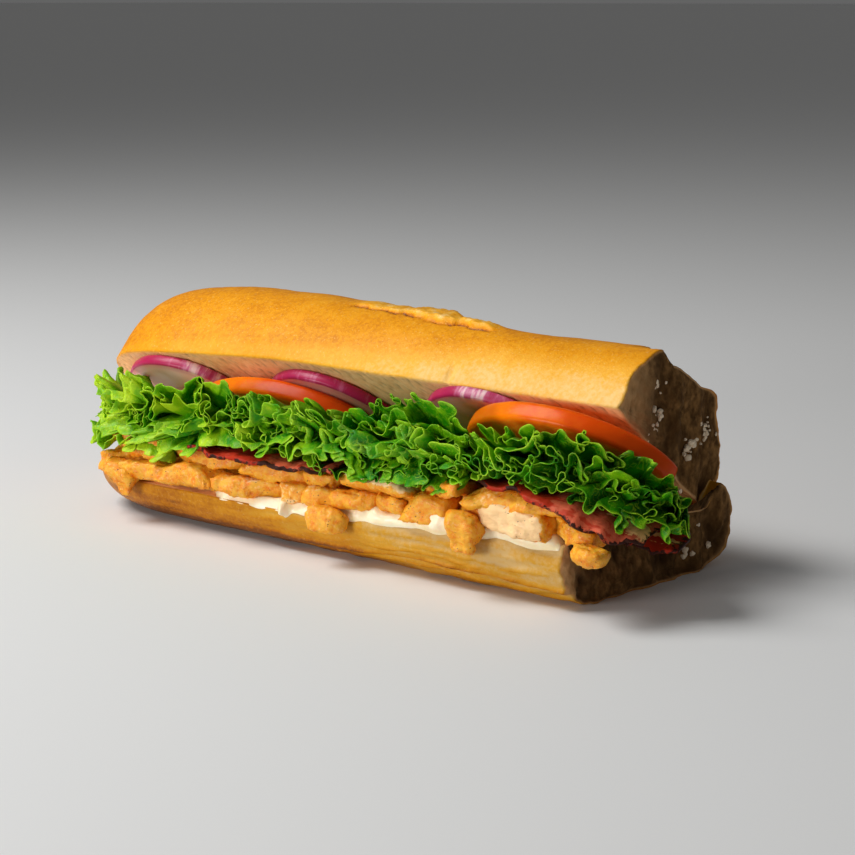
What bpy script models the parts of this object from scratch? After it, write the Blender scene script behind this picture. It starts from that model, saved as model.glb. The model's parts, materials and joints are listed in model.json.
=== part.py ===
"""Chicken and bacon sandwich in a split roll, opened towards -Y.

X runs along the roll, -Y is the open side and +Z is up. Every size is in
millimetres until a mesh is made. The origin is under the middle of the whole
sandwich, on the surface that it rests on.
"""
import math
import random

import bmesh
import bpy
import numpy as np

MM = 0.001
FRAME_SHIFT = (-3.15, 0.94, 0.0)   # from the roll's own drawing frame to the part's frame
GAP = 0.35                         # clear space between neighbouring pieces
SHARP_ANGLE = math.radians(50.0)

# Roll, cut along its front and hinged at the back
TOP_LEFT_TIP = -113.0
BASE_LEFT_TIP = -105.0
RIGHT_END = 95.0
END_ROUNDING = 46.0                # length over which the left end closes
END_POWER = 3.2
ROUNDED_STATIONS = 9
FIRST_TURN = 0.08                  # of the rounded end, just off its tip
STRAIGHT_STATIONS = 18
BASE_CUT_SKEW = math.tan(math.radians(8.0))
TOP_CUT_SKEW = math.tan(math.radians(5.0))
CUT_PIVOT_Y = -22.0
TEAR_DEPTH = 1.1
TEAR_POWER = 30                    # keeps the tearing to the last cross-sections
TEAR_WAVES = (0.55, 0.8)           # radians per millimetre along Y and Z
SKEW_POWER = 4

HINGE_Y = 28.0
HINGE_Z = 18.7
OPEN_ANGLE = math.radians(41.0)
END_DROOP = 4.0                    # how far the closed half hangs lower at its left end
DROOP_FROM = -20.0
DROOP_LENGTH = 90.0

TOP_MIDDLE = 26.5
TOP_HALF_WIDTH = 28.0
TOP_EDGE_HEIGHT = 3.0
TOP_CROWN = 28.0
TOP_CROWN_RISE = 7.5               # extra height of the crown towards the left
CROWN_RISE_FROM = 62.0
CROWN_RISE_LENGTH = 110.0
TOP_POWER = 2.4
TOP_ARC_POINTS = 24
BACK_LOSS = 0.06                   # share by which the crown falls off behind its middle
TORN_BACK_LOSS = 0.20              # and more of it at the torn end
TORN_LOSS_FROM = 66.0
TORN_LOSS_LENGTH = 28.0
BACK_LOSS_ANGLES = (1.7, 3.1)
BACK_LOSS_EASE = (0.7, 0.6)
EAR_FROM = -24.0                   # split ridge along the top of the crust
EAR_TO = 43.0
EAR_EASE = (12.0, 5.0)             # lengths over which it rises at its two ends
EAR_HEIGHT = 1.5
EAR_ANGLES = (0.62, 1.75)          # its steep front edge, and where it has run out behind
EAR_SIDE_EASE = (0.12, 0.9)
EAR_UNEVENNESS = 0.2
EAR_WAVE = 0.5

BASE_HALF_FLAT = 21.0
FRONT_BULGE = 14.5
FRONT_BULGE_HEIGHT = 13.0
BACK_BULGE = 19.0
BACK_BULGE_HEIGHT = 14.4
BACK_CREASE_ANGLE = math.radians(-50.0)
BASE_MIDDLE_Y = 3.0
BASE_FRONT_POINTS = 8
BASE_BACK_POINTS = 9
LIP_LOW = 13.0
LIP_HIGH = 19.0
LIP_RAMP_FROM = -13.0
LIP_RAMP_TO = 75.0
LIP_Y = -33.5

# Fillings
MAYO_THICKNESS = 1.2
MAYO_ENDS = (-92.0, 92.0)
MAYO_BACK_Y = 17.0
MAYO_NARROWS_FROM = -66.0
MAYO_NARROWING = 0.35
MAYO_INSET = 0.3                   # from the lip
MAYO_EDGE_WAVES = [(0.5, 0.31, 0.0), (0.4, 0.83, 1.0)]   # size, radians per millimetre, start
MAYO_STATIONS = 25
ONION_THICKNESS = 3.8
ONION_RADIUS = 26.0
ONION_ROUNDING = 0.6
TOMATO_THICKNESS = 6.6
TOMATO_ROUNDING = 1.2
TOMATO_DEPTH = 4.4                 # below the upper cut face, where the onion lies between
SLICE_PROFILE = [(0.0, 1.0), (0.22, 0.2), (0.5, 0.0), (0.78, 0.2), (1.0, 1.0)]
SLICE_POINTS = 22
BACON_THICKNESS = 1.5
BACON_SPACING = 2.4                # between the columns of a rasher
BACON_WAVE_HEIGHT = 0.55
BACON_EDGE_WAVE = 0.7
BACON_EDGE_TURNS = 31.0
CHUNK_SQUARENESS = (0.42, 0.62)
CHUNK_WAVES = (1.5, 3.4)
CHUNK_SWELL = 0.16
LEAF_THICKNESS = 0.7
LEAF_INNER_Y = 3.0
LEAF_ROWS = 6
POINTS_PER_RUFFLE = 7
RUFFLE_ANGLE = math.radians(74.0)
FLAT_SHARE = 0.10                  # of the ruffling is left at the inner row
FAST_SHARE = 0.86                  # of the ruffling is regular, the rest slower
SLOW_RATE = 0.37
LEAF_RIGHT_FROM = 92.0             # past here the leaves drop and draw back
LEAF_RIGHT_LENGTH = 33.0
LEAF_RIGHT_DRAWN = 21.0
LEAF_DROP = 7.0
LEAF_LEFT_FROM = -86.0
LEAF_LEFT_LENGTH = 17.0
LEAF_LEFT_DRAWN = 12.0

CRUST = (0.78, 0.43, 0.12)
MAYO = (0.90, 0.85, 0.70)
CHICKEN = (0.83, 0.45, 0.16)
BACON = (0.50, 0.12, 0.09)
LETTUCE = (0.18, 0.42, 0.04)
TOMATO = (0.80, 0.16, 0.03)
ONION = (0.55, 0.16, 0.33)

# Chicken pieces: x, length, y, depth, lift above the cream, height
CHICKEN_BASE_ROW = [
    (-82.0, 16.0, -27.0, 15.0, 0.0, 5.4),
    (-54.0, 39.0, -29.0, 17.0, 0.0, 6.0),
    (-22.0, 22.0, -30.0, 14.0, 0.0, 5.2),
    (-4.5, 11.0, -29.0, 15.0, 0.0, 5.4),
    (7.0, 10.5, -30.0, 13.0, 0.0, 5.0),
    (19.5, 13.0, -30.5, 13.0, 0.0, 5.2),
    (32.5, 11.5, -29.5, 14.0, 0.0, 5.4),
    (46.0, 14.0, -30.0, 14.0, 0.0, 6.6),
    (61.0, 14.5, -28.0, 13.0, 0.0, 6.2),
    (79.0, 20.5, -29.5, 15.0, 0.0, 6.4),
    (96.5, 14.0, -29.0, 14.0, 0.0, 4.2),
]
CHICKEN_UPPER_ROW = [
    (-73.0, 28.0, -28.0, 16.0, 6.4, 5.6),
    (-42.5, 31.0, -28.0, 15.0, 6.6, 4.4),
    (-14.0, 24.0, -28.0, 15.0, 5.6, 5.6),
    (4.5, 12.0, -28.0, 14.0, 5.6, 5.6),
    (28.5, 27.0, -29.0, 16.0, 5.9, 5.6),
    (51.0, 17.0, -28.5, 15.0, 7.0, 4.0),
    (80.0, 40.0, -29.5, 16.0, 6.5, 3.7),
]
CHICKEN_HANGING = [
    (-77.0, 14.0, -39.6, 7.5, -5.0, 9.0),
    (11.0, 12.0, -40.0, 7.0, -5.2, 7.8),
    (62.0, 12.0, -40.0, 6.5, -6.0, 11.5),
    (103.0, 12.0, -40.6, 7.0, -4.0, 5.6),
]
CHICKEN_INNER_Y = (-9.5, 9.0)
CHICKEN_INNER_DEPTH = (18.0, 16.0)
CHICKEN_INNER_HEIGHT = (5.0, 3.9)
CHICKEN_INNER_SPANS = [(-98.0, -40.0), (-39.0, 24.0), (25.0, 97.0)]

# Rashers: front edge and back edge as x, y, z
BACON_EDGES = {
    "bacon_left": (
        [(-46, -38, 28.0), (-22, -39, 28.8), (0, -38, 29.6), (13, -37, 30.0)],
        [(-44, -17, 27.2), (-22, -16, 27.6), (0, -17, 28.4), (14, -18, 29.0)],
    ),
    "bacon_right": (
        [(62.5, -36, 33.2), (80, -38, 33.6), (98, -38, 31.8), (109, -35, 26.4), (115, -29, 22.8)],
        [(62.5, -20, 32.2), (80, -19, 32.0), (98, -16, 30.6), (108, -13, 28.2), (114, -12, 25.4)],
    ),
    "bacon_tip": (
        [(105, -25, 20.6), (108, -24, 20.0), (113, -21, 18.8), (119, -17, 17.6)],
        [(105, -10, 22.6), (108, -9, 22.4), (112, -8, 21.0), (118, -9, 19.4)],
    ),
}
BACON_SPREAD = {"bacon_left": 4.5, "bacon_right": 4.5, "bacon_tip": 2.0}

# Half slices: middle x, middle distance from the hinge, half length, half width
ONION_SLICES = {
    "onion_left": (-83.0, 27.0, ONION_RADIUS, ONION_RADIUS),
    "onion_middle": (-21.0, 25.0, ONION_RADIUS, ONION_RADIUS),
    "onion_right": (46.0, 29.5, ONION_RADIUS, ONION_RADIUS),
}
TOMATO_SLICES = {
    "tomato_left": (-38.0, 31.0, 36.0, 19.5),
    "tomato_right": (74.5, 34.0, 34.0, 26.0),
}

# Leaves: edge from x, to x, inner row from x, to x, inner height, edge height, reach, ruffle period, phase
LEAVES = {
    "lettuce_left_low": (-98.0, -21.5, -86.0, -22.0, 24.7, 36.4, 42.0, 16.0, 0.3),
    "lettuce_left_top": (-97.0, -25.0, -84.0, -26.0, 25.7, 44.7, 41.0, 14.5, 2.6),
    "lettuce_middle_low": (-19.5, 61.0, -19.5, 61.0, 26.2, 36.8, 42.0, 15.0, 1.2),
    "lettuce_middle_mid": (-23.0, 62.0, -22.0, 61.0, 27.0, 45.4, 42.0, 14.0, 3.3),
    "lettuce_middle_top": (17.0, 63.0, 13.0, 34.0, 28.0, 53.0, 39.0, 15.0, 5.0),
    "lettuce_right_low": (63.0, 119.0, 63.0, 97.0, 26.8, 41.6, 42.0, 14.0, 2.6),
    "lettuce_right_mid": (65.0, 117.0, 64.0, 95.0, 27.9, 49.0, 41.0, 12.5, 0.9),
}


def smooth_step(value):
    """Ease from 0 to 1."""
    value = np.clip(value, 0.0, 1.0)
    return value * value * (3.0 - 2.0 * value)


def lip_height(x):
    """Height of the lower half's front edge."""
    ramp = (x - LIP_RAMP_FROM) / (LIP_RAMP_TO - LIP_RAMP_FROM)
    return LIP_LOW + (LIP_HIGH - LIP_LOW) * np.clip(ramp, 0.0, 1.0)


def cut_floor(x, y):
    """Height of the lower half's cut face, sloping from the hinge to the lip."""
    slope = (HINGE_Z - lip_height(x)) / (HINGE_Y - LIP_Y)
    return HINGE_Z - slope * (HINGE_Y - np.asarray(y))


def droop(x):
    """How far the upper half hangs lower towards the left end."""
    return END_DROOP * smooth_step((DROOP_FROM - np.asarray(x)) / DROOP_LENGTH)


def under_top(x, along, out):
    """Point at a distance along the upper cut face from the hinge, and out from that face."""
    y = HINGE_Y - along * math.cos(OPEN_ANGLE) + out * math.sin(OPEN_ANGLE)
    z = HINGE_Z - droop(x) + along * math.sin(OPEN_ANGLE) + out * math.cos(OPEN_ANGLE)
    return np.stack([x + 0.0 * y, y, z], axis=-1)


def path_through(points, count):
    """Evenly numbered points on a Catmull-Rom curve through a few given ones."""
    given = np.array(points, float)
    padded = np.vstack([2 * given[0] - given[1], given, 2 * given[-1] - given[-2]])
    places = np.linspace(0.0, len(given) - 1.0, count)
    first = np.minimum(places.astype(int), len(given) - 2)
    t = (places - first)[:, None]
    a, b, c, d = (padded[first + k] for k in range(4))
    square = 2 * a - 5 * b + 4 * c - d
    cube = 3 * b - a - 3 * c + d
    return 0.5 * (2 * b + (c - a) * t + square * t ** 2 + cube * t ** 3)


def new_material(name, colour, roughness):
    material = bpy.data.materials.new(name)
    material.use_nodes = True
    shader = material.node_tree.nodes["Principled BSDF"]
    shader.inputs["Base Color"].default_value = (*colour, 1.0)
    shader.inputs["Roughness"].default_value = roughness
    shader.inputs["Metallic"].default_value = 0.0
    return material


def add_object(name, vertices, faces, material):
    """Mesh object from vertices in millimetres, its normals pointing out."""
    mesh = bpy.data.meshes.new(name)
    placed = (np.asarray(vertices, float) + np.array(FRAME_SHIFT)) * MM
    mesh.from_pydata(placed.tolist(), [], [tuple(int(i) for i in face) for face in faces])
    work = bmesh.new()
    work.from_mesh(mesh)
    bmesh.ops.triangulate(work, faces=work.faces)
    bmesh.ops.recalc_face_normals(work, faces=work.faces)
    work.to_mesh(mesh)
    work.free()
    mesh.shade_smooth()
    mesh.set_sharp_from_angle(angle=SHARP_ANGLE)
    mesh.materials.append(material)
    thing = bpy.data.objects.new(name, mesh)
    bpy.context.scene.collection.objects.link(thing)
    return thing


def loft(rings):
    """Faces of a closed body through rings of equal length, its ends closed by fans."""
    count, around = rings.shape[:2]
    faces = []
    for i in range(count - 1):
        for j in range(around):
            k = (j + 1) % around
            faces.append((i * around + j, i * around + k, (i + 1) * around + k, (i + 1) * around + j))
    first_middle = count * around
    last_middle = first_middle + 1
    last = (count - 1) * around
    for j in range(around):
        k = (j + 1) % around
        faces.append((k, j, first_middle))
        faces.append((last + j, last + k, last_middle))
    vertices = np.vstack([rings.reshape(-1, 3), rings[0].mean(axis=0), rings[-1].mean(axis=0)])
    return vertices, faces


def sheet(grid, thickness):
    """Thin solid about a grid of points, both faces split into triangles alike."""
    rows, columns = grid.shape[:2]
    along = np.gradient(grid, axis=0)
    across = np.gradient(grid, axis=1)
    normal = np.cross(along, across)
    normal /= np.linalg.norm(normal, axis=2, keepdims=True)
    vertices = np.vstack([(grid + normal * thickness / 2).reshape(-1, 3),
                          (grid - normal * thickness / 2).reshape(-1, 3)])
    under = rows * columns
    faces = []
    for i in range(rows - 1):
        for j in range(columns - 1):
            a = i * columns + j
            b = a + 1
            c = a + columns
            d = c + 1
            faces += [(a, c, d), (a, d, b)]
            faces += [(under + a, under + d, under + c), (under + a, under + b, under + d)]
    edge = [j for j in range(columns)]
    edge += [i * columns + columns - 1 for i in range(1, rows)]
    edge += [(rows - 1) * columns + j for j in range(columns - 2, -1, -1)]
    edge += [i * columns for i in range(rows - 2, 0, -1)]
    for a, b in zip(edge, edge[1:] + edge[:1]):
        faces += [(a, b, under + b), (a, under + b, under + a)]
    return vertices, faces


def station_places(tip):
    """X of a half's cross-sections, close together where the left end closes."""
    turn = np.linspace(FIRST_TURN, math.pi / 2, ROUNDED_STATIONS)
    rounded = tip + END_ROUNDING * (1.0 - np.cos(turn))
    straight = np.linspace(tip + END_ROUNDING, RIGHT_END, STRAIGHT_STATIONS)[1:]
    return np.concatenate([rounded, straight])


def end_scale(x, tip):
    """Share of the full cross-section left at the rounded end."""
    short = np.clip((tip + END_ROUNDING - x) / END_ROUNDING, 0.0, 1.0)
    return (1.0 - short ** END_POWER) ** (1.0 / END_POWER)


def crust_arc(start, stop, count, reach, height, power):
    """Superellipse arc from one angle to another."""
    turn = np.linspace(start, stop, count)
    across = reach * np.sign(np.cos(turn)) * np.abs(np.cos(turn)) ** (2.0 / power)
    up = height * np.sign(np.sin(turn)) * np.abs(np.sin(turn)) ** (2.0 / power)
    return across, up, turn


def skewed(points, x, skew):
    """Turn the last cross-sections into the slanting, torn end."""
    share = (x - BASE_LEFT_TIP) / (RIGHT_END - BASE_LEFT_TIP)
    share = max(share, 0.0)
    points[:, 0] += skew * (points[:, 1] - CUT_PIVOT_Y) * share ** SKEW_POWER
    torn = np.sin(points[:, 1] * TEAR_WAVES[0] + 1.0) + np.sin(points[:, 2] * TEAR_WAVES[1])
    points[:, 0] += TEAR_DEPTH * torn * share ** TEAR_POWER
    return points


def crown(x):
    """Height of the upper half's crown, greater towards the rounded end."""
    return TOP_CROWN + TOP_CROWN_RISE * smooth_step((CROWN_RISE_FROM - x) / CROWN_RISE_LENGTH)


def ear(x, turn):
    """Raised torn ridge where the crust split along the top."""
    window = smooth_step((x - EAR_FROM) / EAR_EASE[0]) * smooth_step((EAR_TO - x) / EAR_EASE[1])
    front = smooth_step((turn - EAR_ANGLES[0]) / EAR_SIDE_EASE[0])
    behind = smooth_step((EAR_ANGLES[1] - turn) / EAR_SIDE_EASE[1])
    unevenness = 1.0 - EAR_UNEVENNESS * (1.0 - math.sin(x * EAR_WAVE))
    return EAR_HEIGHT * window * front * behind * unevenness


def top_section(x):
    """Cross-section of the upper half."""
    height = float(crown(x))
    low = math.asin((TOP_EDGE_HEIGHT / height) ** (TOP_POWER / 2.0))
    across, up, turn = crust_arc(-low, math.pi + low, TOP_ARC_POINTS, TOP_HALF_WIDTH, height, TOP_POWER)
    loss = BACK_LOSS + TORN_BACK_LOSS * smooth_step((x - TORN_LOSS_FROM) / TORN_LOSS_LENGTH)
    behind = smooth_step((turn - BACK_LOSS_ANGLES[0]) / BACK_LOSS_EASE[0])
    behind = behind * smooth_step((BACK_LOSS_ANGLES[1] - turn) / BACK_LOSS_EASE[1])
    up = up * (1.0 - loss * behind) + TOP_EDGE_HEIGHT + ear(x, turn)
    face = np.linspace(across[-1], across[0], 5)[1:-1]
    across = np.concatenate([across, face])
    up = np.concatenate([up, np.zeros(3)])
    up[0] = 0.0
    scale = end_scale(x, TOP_LEFT_TIP)
    points = under_top(np.full(len(across), x), TOP_MIDDLE + across * scale, up * scale)
    return skewed(points, x, TOP_CUT_SKEW)


def base_section(x):
    """Cross-section of the lower half."""
    lip = float(lip_height(x))
    rise = math.asin((lip - FRONT_BULGE_HEIGHT) / FRONT_BULGE_HEIGHT)
    front, front_up, _ = crust_arc(
        -rise, math.pi / 2, BASE_FRONT_POINTS, FRONT_BULGE, FRONT_BULGE_HEIGHT, 2.0)
    back, back_up, _ = crust_arc(
        math.pi / 2, BACK_CREASE_ANGLE, BASE_BACK_POINTS, BACK_BULGE, BACK_BULGE_HEIGHT, 2.0)
    y = np.concatenate([-BASE_HALF_FLAT - front, BASE_HALF_FLAT + back, [HINGE_Y, 0.0]])
    z = np.concatenate([FRONT_BULGE_HEIGHT - front_up, BACK_BULGE_HEIGHT - back_up, [HINGE_Z, 0.0]])
    z[-1] = cut_floor(x, 0.0)
    scale = end_scale(x, BASE_LEFT_TIP)
    y = BASE_MIDDLE_Y + (y - BASE_MIDDLE_Y) * scale
    z = lip + (z - lip) * scale
    points = np.stack([np.full(len(y), x), y, z], axis=-1)
    return skewed(points, x, BASE_CUT_SKEW)


def make_bread(material):
    """Both halves of the roll, joined at the uncut back."""
    base_vertices, base_faces = loft(np.array([base_section(x) for x in station_places(BASE_LEFT_TIP)]))
    top_vertices, top_faces = loft(np.array([top_section(x) for x in station_places(TOP_LEFT_TIP)]))
    bread = add_object("bread", base_vertices, base_faces, material)
    upper = add_object("bread_upper", top_vertices, top_faces, material)
    join = bread.modifiers.new("hinge", "BOOLEAN")
    join.operation = "UNION"
    join.solver = "MANIFOLD"
    join.object = upper
    graph = bpy.context.evaluated_depsgraph_get()
    joined = bpy.data.meshes.new_from_object(bread.evaluated_get(graph))
    bread.modifiers.clear()
    bread.data = joined
    bread.data.name = "bread"
    bpy.data.objects.remove(upper)
    return bread


def make_mayo(material):
    """Cream spread over the lower cut face, its front edge uneven."""
    grid = np.zeros((MAYO_STATIONS, 3, 3))
    for row, x in zip(grid, np.linspace(*MAYO_ENDS, MAYO_STATIONS)):
        front = LIP_Y + MAYO_INSET + MAYO_NARROWING * max(0.0, MAYO_NARROWS_FROM - x)
        front += sum(size * math.sin(x * rate + start) for size, rate, start in MAYO_EDGE_WAVES)
        row[:, 0] = x
        row[:, 1] = np.linspace(front, MAYO_BACK_Y, 3)
        row[:, 2] = cut_floor(x, row[:, 1]) + GAP + MAYO_THICKNESS / 2
    vertices, faces = sheet(grid, MAYO_THICKNESS)
    add_object("mayonnaise", vertices, faces, material)


def make_chunk(name, box, seed, material, around=10, bands=6):
    """Cut piece of chicken: a squared-off lump with an uneven surface, filling its box."""
    draw = random.Random(seed)
    power = draw.uniform(*CHUNK_SQUARENESS)
    turn = np.linspace(0, 2 * math.pi, around, endpoint=False) + draw.uniform(0, 0.4)
    lift = np.linspace(-math.pi / 2, math.pi / 2, bands + 1)[1:-1]
    lift, turn = np.meshgrid(lift, turn, indexing="ij")

    def soft(value):
        return np.sign(value) * np.abs(value) ** power

    unit = np.stack([soft(np.cos(lift)) * soft(np.cos(turn)),
                     soft(np.cos(lift)) * soft(np.sin(turn)),
                     soft(np.sin(lift))], axis=-1)
    waves = [(draw.uniform(*CHUNK_WAVES), draw.uniform(*CHUNK_WAVES), draw.uniform(0, 6.3)) for _ in range(3)]
    swell = sum(np.sin(a * unit[..., 0] + b * unit[..., 1] + c) for a, b, c in waves) / 3
    unit = unit * (1.0 + CHUNK_SWELL * swell)[..., None]
    rings = unit / np.abs(unit).max(axis=(0, 1))
    centre, size = np.array(box[:3]), np.array(box[3:])
    vertices, faces = loft(centre + rings * size / 2)
    add_object(name, vertices, faces, material)


def make_chicken(material):
    """Pieces along the open side, others behind them through the roll."""
    number = 1
    for row in (CHICKEN_BASE_ROW, CHICKEN_UPPER_ROW, CHICKEN_HANGING):
        for x, length, y, depth, lift, height in row:
            floor = float(cut_floor(x, max(y, LIP_Y) + depth / 3)) + MAYO_THICKNESS + 2 * GAP
            z = floor + lift + height / 2
            box = (x, y, z, length - GAP, depth, height - GAP)
            make_chunk(f"chicken_{number:02d}", box, number, material)
            number += 1
    for y, depth, height in zip(CHICKEN_INNER_Y, CHICKEN_INNER_DEPTH, CHICKEN_INNER_HEIGHT):
        for start, stop in CHICKEN_INNER_SPANS:
            x = (start + stop) / 2
            floor = max(float(cut_floor(place, y + depth / 2)) for place in (start, stop))
            z = floor + MAYO_THICKNESS + 2 * GAP + height / 2
            box = (x, y, z, stop - start, depth, height)
            make_chunk(f"chicken_{number:02d}", box, number, material)
            number += 1


def make_bacon(material):
    """Thin rashers with wavy edges, lying over the chicken."""
    for index, (name, (front, back)) in enumerate(BACON_EDGES.items()):
        columns = max(8, int((front[-1][0] - front[0][0]) / BACON_SPACING))
        front_edge = path_through(front, columns)
        back_edge = path_through(back, columns)
        share = np.linspace(0.0, 1.0, 5)[None, :, None]
        grid = front_edge[:, None, :] * (1 - share) + back_edge[:, None, :] * share
        run = np.linspace(0.0, 1.0, columns)[:, None]
        wave = np.sin(run * 2 * math.pi * BACON_SPREAD[name] + index) * (1 - share[..., 0] * 0.6)
        grid[..., 2] += BACON_WAVE_HEIGHT * wave
        grid[..., 1] += BACON_EDGE_WAVE * np.sin(run * BACON_EDGE_TURNS + index) * (1 - share[..., 0])
        vertices, faces = sheet(grid, BACON_THICKNESS)
        add_object(name, vertices, faces, material)


def half_slice(name, places, top, thickness, round_edge, material):
    """Half of a round slice lying against the upper cut face, its round edge outwards."""
    middle, along, half_length, half_width = places
    turn = np.linspace(0.0, math.pi, SLICE_POINTS)
    rings = []
    for depth, share in SLICE_PROFILE:
        inset = share * round_edge
        x = middle + (half_length - inset) * np.cos(turn)
        reach = along + inset * 0.5 + (half_width - inset * 1.5) * np.sin(turn)
        rings.append(under_top(x, reach, np.full(SLICE_POINTS, -top - depth * thickness)))
    vertices, faces = loft(np.array(rings))
    add_object(name, vertices, faces, material)


def leaf_grid(start, stop, inner_start, inner_stop, inner_z, edge_z, reach, period, phase):
    """Lettuce leaf: near flat inside the roll, its edge gathered into deep ruffles.

    Along each row the surface turns to and fro through an angle that grows
    towards the edge, so the row folds up and down while it still spans the leaf.
    """
    periods = (stop - start) / period
    columns = int(round(periods * POINTS_PER_RUFFLE)) + 1
    along = np.linspace(0.0, 1.0, columns)
    grid = np.zeros((LEAF_ROWS, columns, 3))
    for i, t in enumerate(np.linspace(0.0, 1.0, LEAF_ROWS)):
        swing = RUFFLE_ANGLE * (FLAT_SHARE + (1.0 - FLAT_SHARE) * t ** 1.3)
        turn = 2 * math.pi * periods * along + phase + 0.5 * t
        slow = np.sin(SLOW_RATE * turn + 2.0 * phase)
        angle = swing * (FAST_SHARE * np.sin(turn) + (1.0 - FAST_SHARE) * slow)
        step_x = np.concatenate([[0.0], (np.cos(angle[1:]) + np.cos(angle[:-1])) / 2])
        step_z = np.concatenate([[0.0], (np.sin(angle[1:]) + np.sin(angle[:-1])) / 2])
        row_start = inner_start + (start - inner_start) * t
        row_stop = inner_stop + (stop - inner_stop) * t
        gain = (row_stop - row_start) / step_x.sum()
        x = row_start + gain * np.cumsum(step_x)
        z = gain * np.cumsum(step_z)
        z -= np.linspace(z[0], z[-1], columns)
        z -= (z.max() + z.min()) / 2
        right_end = np.clip((x - LEAF_RIGHT_FROM) / LEAF_RIGHT_LENGTH, 0.0, 1.0) ** 2
        left_end = np.clip((LEAF_LEFT_FROM - x) / LEAF_LEFT_LENGTH, 0.0, 1.0) ** 2
        out = t ** 0.9
        front = reach - LEAF_RIGHT_DRAWN * right_end - LEAF_LEFT_DRAWN * left_end
        y = LEAF_INNER_Y * (1 - out) - front * out
        rise = out ** 1.1
        middle = inner_z * (1 - rise) + (edge_z - LEAF_DROP * right_end) * rise
        grid[i] = np.stack([x, y, middle + z * (0.12 + 0.88 * t)], axis=-1)
    return grid


def make_lettuce(material):
    for name, values in LEAVES.items():
        vertices, faces = sheet(leaf_grid(*values), LEAF_THICKNESS)
        add_object(name, vertices, faces, material)


def main():
    for thing in list(bpy.data.objects):
        bpy.data.objects.remove(thing)
    make_bread(new_material("crust", CRUST, 0.7))
    make_mayo(new_material("cream", MAYO, 0.4))
    make_chicken(new_material("chicken", CHICKEN, 0.5))
    make_bacon(new_material("bacon", BACON, 0.4))
    make_lettuce(new_material("lettuce", LETTUCE, 0.4))
    tomato = new_material("tomato", TOMATO, 0.25)
    for name, places in TOMATO_SLICES.items():
        half_slice(name, places, TOMATO_DEPTH, TOMATO_THICKNESS, TOMATO_ROUNDING, tomato)
    onion = new_material("onion", ONION, 0.3)
    for name, places in ONION_SLICES.items():
        half_slice(name, places, GAP, ONION_THICKNESS, ONION_ROUNDING, onion)


main()
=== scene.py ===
import json
import math
import random

import bpy
import numpy as np
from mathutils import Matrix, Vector

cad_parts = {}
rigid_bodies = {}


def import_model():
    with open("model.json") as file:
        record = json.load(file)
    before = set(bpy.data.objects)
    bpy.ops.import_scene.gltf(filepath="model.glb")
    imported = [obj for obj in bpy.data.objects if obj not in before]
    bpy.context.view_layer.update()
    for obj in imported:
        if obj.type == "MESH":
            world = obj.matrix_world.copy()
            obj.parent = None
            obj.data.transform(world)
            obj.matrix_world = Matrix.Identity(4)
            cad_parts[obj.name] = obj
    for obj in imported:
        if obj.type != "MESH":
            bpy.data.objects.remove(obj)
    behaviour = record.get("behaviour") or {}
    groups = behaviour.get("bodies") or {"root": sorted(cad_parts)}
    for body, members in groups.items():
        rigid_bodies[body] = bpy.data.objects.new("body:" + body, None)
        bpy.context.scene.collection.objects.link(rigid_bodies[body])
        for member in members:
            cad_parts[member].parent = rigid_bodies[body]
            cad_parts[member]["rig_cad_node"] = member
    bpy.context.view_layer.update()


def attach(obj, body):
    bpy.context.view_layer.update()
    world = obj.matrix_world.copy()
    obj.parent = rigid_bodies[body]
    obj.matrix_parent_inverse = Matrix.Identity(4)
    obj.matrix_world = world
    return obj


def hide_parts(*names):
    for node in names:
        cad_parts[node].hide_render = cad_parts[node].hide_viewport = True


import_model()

mm = 0.001
frameShift = np.array([-3.15, 0.94, 0.0])   # mm, from the roll's own drawing frame to the part's

# Every shape below is worked out in millimetres in the roll's own frame: x along the roll,
# the open side towards -y, z up. Lists of pairs are (x, value) unless a note says otherwise.
roll = {
    "topTip": -115.5,           # left ends of the upper and lower halves
    "baseTip": -105.0,
    "rightEnd": 95.0,
    "endRounding": 46.0,        # length of the rounded left end, and its power
    "endPower": 3.2,
    "hingeY": 28.0,
    "hingeZ": 18.7,
    "openAngle": math.radians(41.0),
    "droop": (-20.0, 90.0, 4.0),   # the upper half's left end falls from here, over this, by this
    "topMiddle": 26.5,          # middle of the upper half, from the hinge
    "topHalfWidth": 28.0,
    "topEdge": 3.0,             # height of the crust's rim over the cut face
    "crown": [(-116, 35.8), (-70, 35.4), (-40, 34.0), (-5, 31.6), (30, 29.4), (62, 27.6), (95, 27.6)],
    "topPower": 2.4,
    "halfFlat": 21.0,           # half the width of the flat underside
    "frontBulge": 14.5,
    "frontHeight": 13.0,
    "backBulge": 19.0,
    "backHeight": 14.4,
    "lipFrom": -13.0,           # the front edge rises from lipLow here to lipHigh at lipTo
    "lipTo": 75.0,
    "lipLow": 13.0,
    "lipHigh": 19.0,
    "lipY": -33.5,
    "tearPivot": -22.0,         # y about which the torn end slants
    "topSlant": math.tan(math.radians(5.0)),
    "baseSlant": math.tan(math.radians(8.0)),
}


# s = v v (3 - 2 v), with v kept between 0 and 1
def smoothStep(value):
    value = np.clip(value, 0.0, 1.0)
    return value * value * (3.0 - 2.0 * value)


# 1 between start and stop, eased in after start and out before stop by smooth steps
def within(value, start, easeIn, stop, easeOut):
    return smoothStep((value - start) / easeIn) * smoothStep((stop - value) / easeOut)


# Bell curve e^(-(v / width)^2)
def bell(value, width):
    return np.exp(-(value / width) ** 2)


# One array of points from coordinates that broadcast against each other
def spot(x, y, z):
    return np.stack(np.broadcast_arrays(x, y, z), axis=-1)


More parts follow.
